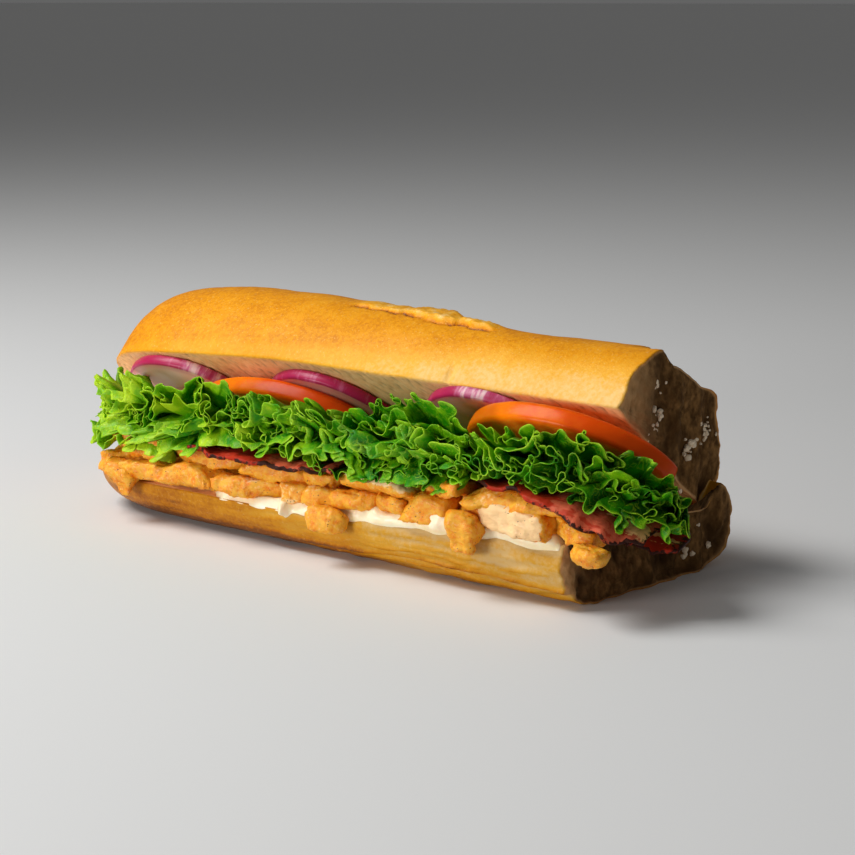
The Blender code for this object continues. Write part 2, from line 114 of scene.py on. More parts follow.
# A number from 0 to 1 for each whole-number cell, by multiplying and folding its bits
def cellValue(cell, seed):
    mixed = (cell[..., 0] * 73856093) ^ (cell[..., 1] * 19349663) ^ (cell[..., 2] * 83492791)
    mixed = (mixed ^ (seed * 40503 + 977)) & 0xFFFFFFFF
    mixed = ((mixed ^ (mixed >> 15)) * 739982445) & 0xFFFFFFFF
    mixed = ((mixed ^ (mixed >> 12)) * 695872825) & 0xFFFFFFFF
    return (mixed ^ (mixed >> 15)) / 4294967296.0


# Value noise from -1 to 1: the values of a cell's eight corners, blended by the smooth step
# of the place inside the cell along each axis
def cellNoise(points, size, seed):
    scaled = np.asarray(points, float) / size + 1000.0
    cell = np.floor(scaled).astype(np.int64)
    inside = scaled - cell
    inside = inside * inside * (3.0 - 2.0 * inside)
    total = np.zeros(scaled.shape[:-1])
    for corner in range(8):
        step = np.array([corner & 1, corner >> 1 & 1, corner >> 2])
        weight = np.where(step == 1, inside, 1.0 - inside).prod(axis=-1)
        total += weight * cellValue(cell + step, seed)
    return total * 2.0 - 1.0


# Sum of noise at size, size / 2, size / 4 ..., each layer fainter than the last by fade
def layeredNoise(points, size, seed, layers=3, fade=0.5):
    total, share, whole = 0.0, 1.0, 0.0
    for layer in range(layers):
        total = total + share * cellNoise(points, size / 2.0 ** layer, seed + 31 * layer)
        whole += share
        share *= fade
    return total / whole


# Distance to the nearest of the dots strewn one in each cell, in cells
def dotDistance(points, size, seed):
    scaled = np.asarray(points, float) / size + 1000.0
    cell = np.floor(scaled).astype(np.int64)
    nearest = np.full(scaled.shape[:-1], 9.0)
    for number in range(27):
        near = cell + np.array([number % 3, number // 3 % 3, number // 9]) - 1
        dot = near + np.stack([cellValue(near, seed + k) for k in range(3)], axis=-1)
        nearest = np.minimum(nearest, ((dot - scaled) ** 2).sum(axis=-1))
    return np.sqrt(nearest)


# Catmull-Rom curve through a few given points, at evenly numbered places
def pathThrough(points, count):
    given = np.array(points, float)
    padded = np.vstack([2 * given[0] - given[1], given, 2 * given[-1] - given[-2]])
    places = np.linspace(0.0, len(given) - 1.0, count)
    first = np.minimum(places.astype(int), len(given) - 2)
    t = (places - first)[:, None]
    a, b, c, d = (padded[first + k] for k in range(4))
    steady = 2 * b + (c - a) * t
    return 0.5 * (steady + (2 * a - 5 * b + 4 * c - d) * t ** 2 + (3 * b - a - 3 * c + d) * t ** 3)


# Smooth curve of one value over x through a few (x, value) pairs
def valueAlong(x, pairs):
    places, values = np.array(pairs, float).T
    at = np.clip(np.searchsorted(places, x) - 1, 0, len(places) - 2)
    share = smoothStep((x - places[at]) / (places[at + 1] - places[at]))
    return values[at] * (1.0 - share) + values[at + 1] * share


# Height of the lower half's front edge: a ramp between its two heights
def lipHeight(x):
    share = np.clip((x - roll["lipFrom"]) / (roll["lipTo"] - roll["lipFrom"]), 0.0, 1.0)
    return roll["lipLow"] + (roll["lipHigh"] - roll["lipLow"]) * share


# Height of the lower cut face: a straight slope from the hinge to the lip
def cutFloor(x, y):
    slope = (roll["hingeZ"] - lipHeight(x)) / (roll["hingeY"] - roll["lipY"])
    return roll["hingeZ"] - slope * (roll["hingeY"] - y)


# Point at a distance along the upper cut face from the hinge, and out from that face:
# hinge + along (-cos a, sin a) + out (sin a, cos a), less the droop of the left end
def underTop(x, along, out):
    angle = roll["openAngle"]
    droopFrom, droopOver, droopBy = roll["droop"]
    droop = droopBy * smoothStep((droopFrom - x) / droopOver)
    y = roll["hingeY"] - along * math.cos(angle) + out * math.sin(angle)
    z = roll["hingeZ"] - droop + along * math.sin(angle) + out * math.cos(angle)
    return spot(x, y, z)


# Quads of a grid of rows by columns; wrapped, its last column joins its first
def gridQuads(rows, columns, wrapped=False):
    i = np.arange(rows - 1)[:, None] * columns
    j = np.arange(columns if wrapped else columns - 1)[None, :]
    k = (j + 1) % columns
    return np.stack([i + j, i + k, i + columns + k, i + columns + j], axis=-1).reshape(-1, 4)


# Closed skin through rings: quads between them, and a fan to a middle point at each end
def loftSkin(rings):
    count, around = rings.shape[:2]
    j = np.arange(around)
    k = (j + 1) % around
    first = np.full(around, count * around)
    last = (count - 1) * around
    fans = np.concatenate([np.stack([k, j, first], -1), np.stack([last + j, last + k, first + 1], -1)])
    points = np.vstack([rings.reshape(-1, 3), rings[0].mean(axis=0), rings[-1].mean(axis=0)])
    return points, gridQuads(count, around, True), fans


# Each mask's values in one row, with the means of its first and last rows for a skin's two
# middle points
def polesToo(masks):
    return {label: np.concatenate([values.ravel(), [values[0].mean(), values[-1].mean()]])
            for label, values in masks.items()}


# Unit normals of a grid: the cross product of its two gradients, over its length
def gridNormals(grid, wrapped=False):
    down = np.gradient(grid, axis=0)
    if wrapped:
        across = np.roll(grid, -1, axis=1) - np.roll(grid, 1, axis=1)
    else:
        across = np.gradient(grid, axis=1)
    normal = np.cross(down, across)
    return normal / np.maximum(np.linalg.norm(normal, axis=-1, keepdims=True), 1e-9)


# Closed solid between two grids: the faces of both, and a rim of quads along their edges
def shellBetween(upper, lower):
    rows, columns = upper.shape[:2]
    under = rows * columns
    quads = gridQuads(rows, columns)
    number = np.arange(under).reshape(rows, columns)
    edge = np.concatenate([number[0], number[1:, -1], number[-1, -2::-1], number[-2:0:-1, 0]])
    after = np.roll(edge, -1)
    rim = np.stack([edge, under + edge, under + after, after], axis=-1)
    points = np.vstack([upper.reshape(-1, 3), lower.reshape(-1, 3)])
    return points, np.concatenate([quads, under + quads[:, ::-1], rim])


# Thin closed solid about a grid: the grid moved half its thickness to each side
def sheetSkin(grid, thickness):
    offset = gridNormals(grid) * np.broadcast_to(thickness, grid.shape[:2])[..., None] / 2
    return shellBetween(grid + offset, grid - offset)


# The enclosed volume's sign, from the triple products of each face's first three corners
def pointsInward(points, quads, triangles):
    halves = [quads[:, [0, 1, 2]], quads[:, [0, 2, 3]]] + ([triangles] if len(triangles) else [])
    a, b, c = (points[np.concatenate(halves)[:, k]] - points.mean(axis=0) for k in range(3))
    return np.einsum("ij,ij->i", a, np.cross(b, c)).sum() < 0.0


# Mesh object from arrays: (points + frameShift) mm, faces turned round if they point inwards,
# and each mask as an attribute of its points
def makePiece(name, points, quads, triangles, material, slot, nodes=(), masks=None):
    triangles = np.zeros((0, 3), int) if triangles is None else triangles
    if pointsInward(points, quads, triangles):
        quads, triangles = quads[:, ::-1], triangles[:, ::-1]
    mesh = bpy.data.meshes.new(name)
    corners = np.concatenate([quads.ravel(), triangles.ravel()])
    sizes = np.concatenate([np.full(len(quads), 4), np.full(len(triangles), 3)])
    mesh.vertices.add(len(points))
    mesh.vertices.foreach_set("co", ((points + frameShift) * mm).astype(np.float32).ravel())
    mesh.loops.add(len(corners))
    mesh.loops.foreach_set("vertex_index", corners.astype(np.int32))
    mesh.polygons.add(len(sizes))
    mesh.polygons.foreach_set("loop_start", (np.cumsum(sizes) - sizes).astype(np.int32))
    mesh.update(calc_edges=True)
    for label, values in (masks or {}).items():
        layer = mesh.attributes.new(label, "FLOAT", "POINT")
        layer.data.foreach_set("value", np.ravel(values).astype(np.float32))
    mesh.shade_smooth()
    mesh.materials.append(material)
    piece = bpy.data.objects.new(name, mesh)
    bpy.context.scene.collection.objects.link(piece)
    if slot:
        ridePiece(piece, nodes)
    return piece


# Puts a piece on the root body, and hides the nodes of the part that it stands for
def ridePiece(piece, nodes):
    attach(piece, "root")
    if nodes:
        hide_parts(*nodes)


# A node with its settings, and the values of its sockets
def addNode(tree, kind, settings=None, values=None):
    node = tree.nodes.new(kind)
    for label, value in (settings or {}).items():
        setattr(node, label, value)
    for label, value in (values or {}).items():
        node.inputs[label].default_value = value
    return node


# Noise whose broadest lumps are size millimetres
def noiseOf(tree, vector, size, detail=3.0, roughness=0.55, distortion=0.0):
    node = addNode(tree, "ShaderNodeTexNoise", None, {"Scale": 1.0 / (size * mm), "Detail": detail,
                                                      "Roughness": roughness, "Distortion": distortion})
    tree.links.new(vector, node.inputs["Vector"])
    return node.outputs["Fac"]


# Colour over a value, straight from each stop to the next
def rampOf(tree, value, stops):
    node = addNode(tree, "ShaderNodeValToRGB")
    ramp = node.color_ramp
    while len(ramp.elements) < len(stops):
        ramp.elements.new(0.5)
    for element, (place, colour) in zip(ramp.elements, stops):
        element.position = place
        element.color = (*colour, 1.0)
    tree.links.new(value, node.inputs["Fac"])
    return node.outputs["Color"]


# Sets or links sockets: a number or a colour is set, an output is linked
def feed(tree, sockets, values):
    for socket, value in zip(sockets, values):
        if isinstance(value, (int, float)):
            socket.default_value = value
        elif isinstance(value, tuple):
            socket.default_value = (*value, 1.0)
        else:
            tree.links.new(value, socket)


# first (1 - share) + second share, with share kept between 0 and 1
def blendOf(tree, share, first, second, way="MIX"):
    node = addNode(tree, "ShaderNodeMix", {"data_type": "RGBA", "blend_type": way, "clamp_factor": True})
    feed(tree, (node.inputs[0], node.inputs[6], node.inputs[7]), (share, first, second))
    return node.outputs[2]


# Sum, product or the like of two values
def mathOf(tree, way, first, second=0.0):
    node = addNode(tree, "ShaderNodeMath", {"operation": way})
    feed(tree, node.inputs, (first, second))
    return node.outputs[0]


# Smooth step of a value between low and high, on to the range toLow to toHigh
def rangeOf(tree, value, low, high, toLow=0.0, toHigh=1.0):
    node = addNode(tree, "ShaderNodeMapRange", {"interpolation_type": "SMOOTHSTEP"},
                   {"From Min": low, "From Max": high, "To Min": toLow, "To Max": toHigh})
    tree.links.new(value, node.inputs["Value"])
    return node.outputs["Result"]


# A mask that rides on the points of a piece
def maskOf(tree, label):
    return addNode(tree, "ShaderNodeAttribute", {"attribute_name": label}).outputs["Fac"]


# A place times a scale along each axis
def stretched(tree, vector, scale):
    node = addNode(tree, "ShaderNodeMapping", None, {"Scale": scale})
    tree.links.new(vector, node.inputs["Vector"])
    return node.outputs["Vector"]


# A mask or value made uneven: it plus a noise, as much as spread either way
def unevenly(tree, value, noise, spread):
    return mathOf(tree, "ADD", value, rangeOf(tree, noise, 0.3, 0.7, -spread, spread))


# Mottling that several foods share: broad and fine unevenness
def mottleGroup():
    group = bpy.data.node_groups.new("mottling", "ShaderNodeTree")
    for label, kind, way in (("Vector", "NodeSocketVector", "INPUT"), ("Broad", "NodeSocketFloat", "OUTPUT"),
                             ("Fine", "NodeSocketFloat", "OUTPUT")):
        group.interface.new_socket(name=label, in_out=way, socket_type=kind)
    place = addNode(group, "NodeGroupInput").outputs["Vector"]
    end = addNode(group, "NodeGroupOutput")
    group.links.new(noiseOf(group, place, 9.0, 4.0, 0.6), end.inputs["Broad"])
    group.links.new(noiseOf(group, place, 1.3, 3.0, 0.6), end.inputs["Fine"])
    return group


mottling = mottleGroup()


# A food's material: the shader takes what its look names like the shader's own sockets
def startMaterial(name, look):
    material = bpy.data.materials.new(name)
    material.use_nodes = True
    tree = material.node_tree
    shader = tree.nodes["Principled BSDF"]
    for label, value in look.items():
        if label in shader.inputs:
            shader.inputs[label].default_value = value
    place = addNode(tree, "ShaderNodeTexCoord").outputs["Object"]
    mottle = addNode(tree, "ShaderNodeGroup", {"node_tree": mottling})
    tree.links.new(place, mottle.inputs["Vector"])
    return material, tree, shader, place, mottle.outputs


# Tips the shader's normal by the slope of a height times distance mm
def addBump(tree, shader, height, strength, distance):
    bump = addNode(tree, "ShaderNodeBump", None, {"Strength": strength, "Distance": distance * mm})
    tree.links.new(height, bump.inputs["Height"])
    tree.links.new(bump.outputs["Normal"], shader.inputs["Normal"])


breadLook = {
    "cream": (0.88, 0.55, 0.18),
    "straw": (0.86, 0.42, 0.030),
    "golden": (0.80, 0.315, 0.006),
    "brown": (0.56, 0.17, 0.004),
    "dark": (0.26, 0.08, 0.012),
    # Painted shade: the tint darkens and cools the lower half's crust
    "lower": (0.66, 0.68, 0.76),      # tints the lower half's crust
    "crumbLight": (1.0, 0.62, 0.30),
    "crumbDark": (0.92, 0.49, 0.20),
    # The torn end's crumb, darkened in colour as painted shade
    "tornLight": (0.36, 0.185, 0.062),
    "tornDark": (0.080, 0.036, 0.010),
    # Near-black painted shade in the pits
    "pore": (0.045, 0.020, 0.007),
    "Specular IOR Level": 0.12,
}


# Crust coloured by how far it is baked, with pale blisters; crumb by streaks, with painted shade over the
# torn end and in the pits
def breadMaterial():
    material, tree, shader, place, mottle = startMaterial("breadCrust", breadLook)
    bake = unevenly(tree, maskOf(tree, "bake"), mottle["Broad"], 0.06)
    bake = unevenly(tree, bake, mottle["Fine"], 0.08)
    crust = rampOf(tree, bake, [(0.05, breadLook["cream"]), (0.30, breadLook["straw"]),
                                (0.58, breadLook["golden"]), (0.84, breadLook["brown"]),
                                (1.0, breadLook["dark"])])
    blister = rangeOf(tree, noiseOf(tree, place, 0.8, 2.0), 0.60, 0.72)
    crust = blendOf(tree, mathOf(tree, "MULTIPLY", blister, 0.38), crust, breadLook["cream"])
    # Painted shade: the lower half's crust darkened by its tint
    crust = blendOf(tree, maskOf(tree, "lower"), crust, breadLook["lower"], "MULTIPLY")
    streak = noiseOf(tree, stretched(tree, place, (1.5, 1.5, 0.8)), 3.0, 5.0, 0.6)
    streak = rangeOf(tree, streak, 0.28, 0.74)
    crumb = blendOf(tree, streak, breadLook["crumbDark"], breadLook["crumbLight"])
    uneven = mathOf(tree, "MULTIPLY", streak, rangeOf(tree, mottle["Broad"], 0.35, 0.6, 0.25, 1.0))
    # Painted shade: the torn end's crumb in its darkened colours
    torn = blendOf(tree, uneven, breadLook["tornDark"], breadLook["tornLight"])
    crumb = blendOf(tree, maskOf(tree, "torn"), crumb, torn)
    # Painted shade: the pits and hollows darkened nearly to black
    crumb = blendOf(tree, maskOf(tree, "pitAndShade"), crumb, breadLook["pore"])
    tree.links.new(blendOf(tree, maskOf(tree, "crumb"), crust, crumb), shader.inputs["Base Color"])
    rough = rangeOf(tree, maskOf(tree, "crumb"), 0.0, 1.0, 0.42, 0.95)
    tree.links.new(rough, shader.inputs["Roughness"])
    height = mathOf(tree, "ADD", mottle["Fine"], noiseOf(tree, place, 0.6, 2.0))
    addBump(tree, shader, height, 0.35, 0.25)
    return material


breadShape = {
    "topStations": 250,     # cross-sections
    "topAround": 150,       # points over the upper crust
    "faceAround": 34,       # and over a cut face
    "baseStations": 230,
    "frontAround": 44,
    "backAround": 36,
    "flatAround": 14,
    "capRings": 44,         # over the torn end
    "backLoss": [(66.0, 0.06), (94.0, 0.26)],   # share by which the crown is lower at the back
    "backTurn": (1.7, 0.7, 3.1, 0.6),
    "lumps": 0.5,           # mm, broad unevenness of the crust
    "skin": 0.08,           # mm, fine unevenness
    "rocker": (-60.0, 45.0, 1.6),   # the lower half's left end rises from here, over this, by this
    "crustBand": 0.15,      # mm of crust round the torn end
    "tearDepth": 1.1,
    "tearLumps": 3.6,
    "poreDepth": 1.2,
}
# The split over the crown, a dent behind its right end, and the crust that is torn away from the
# top of the torn end. Turns go round the crust from the lip, in radians; fours are a start, its
# ease, a stop and its ease
split = {
    "turn": 0.70, "wander": 0.16, "along": (-24.0, 14.0, 43.0, 9.0),
    "growth": [(-16.0, 0.35), (10.0, 1.0)],
    "ridgeHeight": 1.5, "ridgeStop": 1.70, "ridgeEase": 0.3,
    "crackWidth": 0.022, "crackDepth": 1.0,
}
dentShape = {"turn": (0.80, 0.3, 2.7, 1.3), "from": 21.0, "ease": (6.0, 16.0), "to": 66.0, "toEase": 26.0,
             "skew": 25.0, "depth": 2.9}
goneShape = {"turn": (0.80, 0.08, 1.95, 0.45), "from": 85.0, "ease": 2.5, "ragged": 2.2, "depth": 4.6}
dimpleShape = {"middle": (46.0, 1.2), "reach": (10.0, 0.35), "rise": 0.7}
lipNotch = {"along": 36.0, "width": 0.9, "turnWidth": 0.07, "depth": 1.0}
topBake = {   # how far the upper crust is baked, 0 pale to 1 dark
    "paleHeight": [(-113, 1.2), (-40, 2.5), (10, 5.5), (45, 9.0), (95, 11.0)],
    "lip": [(-113, 0.52), (-40, 0.44), (5, 0.30), (35, 0.15), (95, 0.15)],
    "crown": 0.60,
}
creaseShape = {   # along the lower half's front
    "height": [(-80, 4.0), (0, 4.4), (45, 6.6), (95, 5.6)],
    "width": 0.55,
    "fine": [(1.8, 18.0, 80.0, 0.6), (3.6, 40.0, 96.0, 0.5),   # height over it, from, to, depth
             (-1.7, 0.0, 60.0, 0.7), (-2.6, 45.0, 96.0, 0.6)],
    "fineWidth": 0.4,
    "depth": 1.3, "wrinkles": 0.95,
    "bake": [(-105, 0.72), (-50, 0.66), (5, 0.46), (40, 0.20), (95, 0.14)],
}


# (1 - short^p)^(1/p) of the distance left to the rounded end
def endScale(x, tip):
    short = np.clip((tip + roll["endRounding"] - x) / roll["endRounding"], 0.0, 1.0)
    return (1.0 - short ** roll["endPower"]) ** (1.0 / roll["endPower"])


# Cross-section places: by the cosine where the end closes, then evenly spaced
def stationPlaces(tip, count):
    rounded = int(count * 0.3)
    turn = np.linspace(0.02, math.pi / 2, rounded)
    closing = tip + roll["endRounding"] * (1.0 - np.cos(turn))
    straight = np.linspace(tip + roll["endRounding"], roll["rightEnd"], count - rounded + 1)[1:]
    return np.concatenate([closing, straight])[:, None]


# Superellipse: sign(cos) |cos|^(2/p) across and sign(sin) |sin|^(2/p) up
def roundArc(turn, reach, height, power):
    across = reach * np.sign(np.cos(turn)) * np.abs(np.cos(turn)) ** (2.0 / power)
    up = height * np.sign(np.sin(turn)) * np.abs(np.sin(turn)) ** (2.0 / power)
    return across, up


# Rings drawn in from the last cross-section to its middle: m + (p - m) share
def withCap(rings, masks, lower, paintedLightY):
    rim = rings[-1]
    middle = rim.mean(axis=0)
    inward = np.linspace(0.0, 1.0, breadShape["capRings"] + 1)[1:-1]
    share = (1.0 - inward)[:, None, None]
    cap = middle + (rim - middle) * share
    depth = np.linalg.norm((rim - middle) * (1.0 - share), axis=-1)
    nearHinge = 1.0 - np.hypot(cap[..., 1] - roll["hingeY"], cap[..., 2] - roll["hingeZ"]) / 11.0
    inside = np.maximum(smoothStep((depth - breadShape["crustBand"]) / 0.7), smoothStep(nearHinge * 2.0))
    inside = np.maximum(inside, masks["crumb"][-1])
    # Painted shade over the torn end's crumb, weaker towards the front edge as painted light
    tornPaintedShade = smoothStep(depth / 1.2) * (1.0 - 0.6 * smoothStep((paintedLightY - cap[..., 1]) / 18.0))
    capMasks = {"crumb": inside, "bake": 0.78 + 0 * depth, "torn": tornPaintedShade}
    joined = {label: np.concatenate([masks[label], capMasks[label]]) for label in capMasks}
    joined["lower"] = np.full(joined["crumb"].shape, lower)
    weight = np.concatenate([np.zeros(rings.shape[:2]), smoothStep(depth / 2.5)])
    return np.concatenate([rings, cap]), joined, weight


# Slant and tear of the last cross-sections: x moves by slant (y - pivot) share^4 and by
# waves and noise times share^30
def slanted(rings, slant):
    share = np.maximum((rings[..., 0] - roll["baseTip"]) / (roll["rightEnd"] - roll["baseTip"]), 0.0)
    y, z = rings[..., 1], rings[..., 2]
    ragged = breadShape["tearDepth"] * np.sin(y * 0.55 + 1.0) * 0.5
    ragged = ragged + 1.5 * layeredNoise(spot(0, y, z), 9.0, 71, 5, 0.62)
    moved = rings.copy()
    moved[..., 0] += slant * (y - roll["tearPivot"]) * share ** 4 + ragged * share ** 30
    return moved


# Pores on the torn end: where a dot is near, the face sinks by depth (1 - distance / reach);
# the lattice is stretched upwards, as the crumb's cells are
def poreRelief(rings, weight, lean):
    y, z = rings[..., 1], rings[..., 2]
    up = z * math.cos(lean) + y * math.sin(lean)
    side = y * math.cos(lean) - z * math.sin(lean)
    bent = side + 1.2 * layeredNoise(spot(0, side, up), 6.0, 17, 2)
    broad = dotDistance(spot(0, bent, up / 2.6), 3.4, 5)
    small = dotDistance(spot(0, bent, up / 1.9), 1.3, 9)
    sparse = np.clip(0.35 + 1.1 * layeredNoise(spot(0, side, up), 10.0, 19, 2), 0.0, 1.0)
    pitAndShade = 1.1 * sparse * smoothStep(1.0 - broad / 0.6) + 0.35 * smoothStep(1.0 - small / 0.62)
    lumps = layeredNoise(spot(0, side, up / 1.8), 12.0, 13, 4, 0.5)
    moved = rings.copy()
    moved[..., 0] += weight * (breadShape["tearLumps"] * lumps - breadShape["poreDepth"] * pitAndShade)
    # Painted shade: the colour mask takes the pits and the hollows between the lumps
    pitAndShade = 0.8 * pitAndShade + 0.6 * smoothStep((-lumps - 0.05) / 0.5)
    return moved, np.clip(weight * pitAndShade, 0.0, 1.0)


# Moves rings along their normals by the relief, less where the end closes
def raised(rings, relief, scale):
    return rings + gridNormals(rings, True) * relief[..., None] * np.minimum(scale * 2.0, 1.0)[..., None]


# Upper half: superellipses over the cut face, and the face itself, closed to rings. The relief is
# ridge - crack - dent - torn-away crust + dimple + unevenness, each worked out over the distance
# along the roll and the turn round the crust
def topHalf():
    x = stationPlaces(roll["topTip"], breadShape["topStations"])
    crown = valueAlong(x, roll["crown"])
    low = np.arcsin((roll["topEdge"] / crown) ** (roll["topPower"] / 2.0))
    turn = -low + (math.pi + 2 * low) * np.linspace(0.0, 1.0, breadShape["topAround"])[None, :]
    across, up = roundArc(turn, roll["topHalfWidth"], crown, roll["topPower"])
    loss = valueAlong(x, breadShape["backLoss"]) * within(turn, *breadShape["backTurn"])
    up = up * (1.0 - loss) + roll["topEdge"]
    faceShare = np.linspace(0.0, 1.0, breadShape["faceAround"] + 2)[None, 1:-1]
    faceAcross = across[:, -1:] * (1 - faceShare) + across[:, :1] * faceShare
    across = np.concatenate([across, faceAcross], axis=1)
    up = np.concatenate([up, 0 * faceAcross], axis=1)
    up[:, 0] = 0.0
    turn = np.concatenate([turn, np.full(faceAcross.shape, -1.0)], axis=1)   # -1 on the cut face
    scale = endScale(x, roll["topTip"])
    rings = underTop(x + 0 * across, roll["topMiddle"] + across * scale, up * scale)
    onFace = (turn == -1.0).astype(float)
    along = x + 0 * turn
    flat = spot(along, turn * 22.0, 0.0)    # the crust rolled out
    line = flat * [1, 0, 0]

    past = turn - split["turn"] - split["wander"] * layeredNoise(line, 11.0, 3, 5, 0.62)
    window = within(along, *split["along"])
    beside = along + dentShape["skew"] * (turn - 0.9)
    dentEase = dentShape["ease"][0] + dentShape["ease"][1] * smoothStep((turn - 1.1) / 0.7)
    dent = within(turn, *dentShape["turn"])
    dent = dent * within(beside, dentShape["from"], dentEase, dentShape["to"], dentShape["toEase"])
    behindSplit = smoothStep((split["ridgeStop"] - turn) / split["ridgeEase"]) * window
    uneven = 0.85 + 0.5 * layeredNoise(rings, 2.4, 21, 4, 0.72) + 0.7 * layeredNoise(line, 7.0, 26, 2)
    ridge = smoothStep(past / 0.06) * behindSplit * (1.0 - dent) * valueAlong(along, split["growth"])
    crack = bell(past + 0.01, split["crackWidth"]) * window * (0.7 + 0.9 * layeredNoise(flat, 5.0, 28, 2))
    rag = goneShape["ragged"] * layeredNoise(flat, 4.0, 39, 4, 0.65)
    start, ease, stop, stopEase = goneShape["turn"]
    gone = smoothStep((turn - start - 0.04 * rag) / ease) * smoothStep((stop - turn) / stopEase)
    gone = gone * smoothStep((along + rag - goneShape["from"]) / goneShape["ease"])
    (middleX, middleTurn), (reachX, reachTurn) = dimpleShape["middle"], dimpleShape["reach"]
    dimple = smoothStep(1.0 - np.hypot((along - middleX) / reachX, (turn - middleTurn) / reachTurn))
    notch = bell(along - lipNotch["along"], lipNotch["width"]) * bell(turn, lipNotch["turnWidth"])
    openPores = smoothStep(1.0 - dotDistance(rings, 1.7, 6) / 0.55)
    relief = split["ridgeHeight"] * ridge * uneven - split["crackDepth"] * crack
    relief += dimpleShape["rise"] * dimple - dentShape["depth"] * dent
    relief -= goneShape["depth"] * gone + lipNotch["depth"] * notch
    relief += breadShape["lumps"] * layeredNoise(rings, 16.0, 22, 2) * (1 - onFace)
    relief += breadShape["skin"] * layeredNoise(rings, 2.4, 23, 2) * (1 - onFace)
    relief += onFace * (0.35 * layeredNoise(rings, 5.0, 24, 3) - 0.45 * openPores)
    rings = raised(rings, relief, scale)

    height = np.where(turn > -0.5, roundArc(turn, 1.0, crown, roll["topPower"])[1], 0.0)
    lipBake = valueAlong(along, topBake["lip"])
    upwards = smoothStep(height / (valueAlong(along, topBake["paleHeight"]) * 1.7))
    bake = lipBake + (topBake["crown"] - lipBake) * upwards
    bake += 0.10 * smoothStep((turn - 0.5) / 0.8) + 0.08 * smoothStep((-60.0 - along) / 50.0)
    bake += 0.06 * layeredNoise(rings, 18.0, 25, 2)
    torn = smoothStep(past / 0.05) * behindSplit * (1.0 - 0.5 * dent)
    bake += torn * (0.60 * layeredNoise(rings, 2.2, 29, 4, 0.7) - 0.34)
    # Painted shade: the crust is darker in the crack
    bake += 0.55 * crack - 0.25 * dimple * (turn > 1.1)
    # Where the crust is torn away, the crumb takes the torn end's painted shade
    masks = {"crumb": np.maximum(onFace, gone), "bake": bake, "torn": gone}
    rings, masks, weight = withCap(rings, masks, 0.0, 8.0)
    rings, pitAndShade = poreRelief(slanted(rings, roll["topSlant"]), weight, 0.25)
    # Painted shade in the open pores of the cut face
    pitAndShade[:onFace.shape[0]] = onFace * openPores * 0.55
    return rings, dict(masks, pitAndShade=pitAndShade)


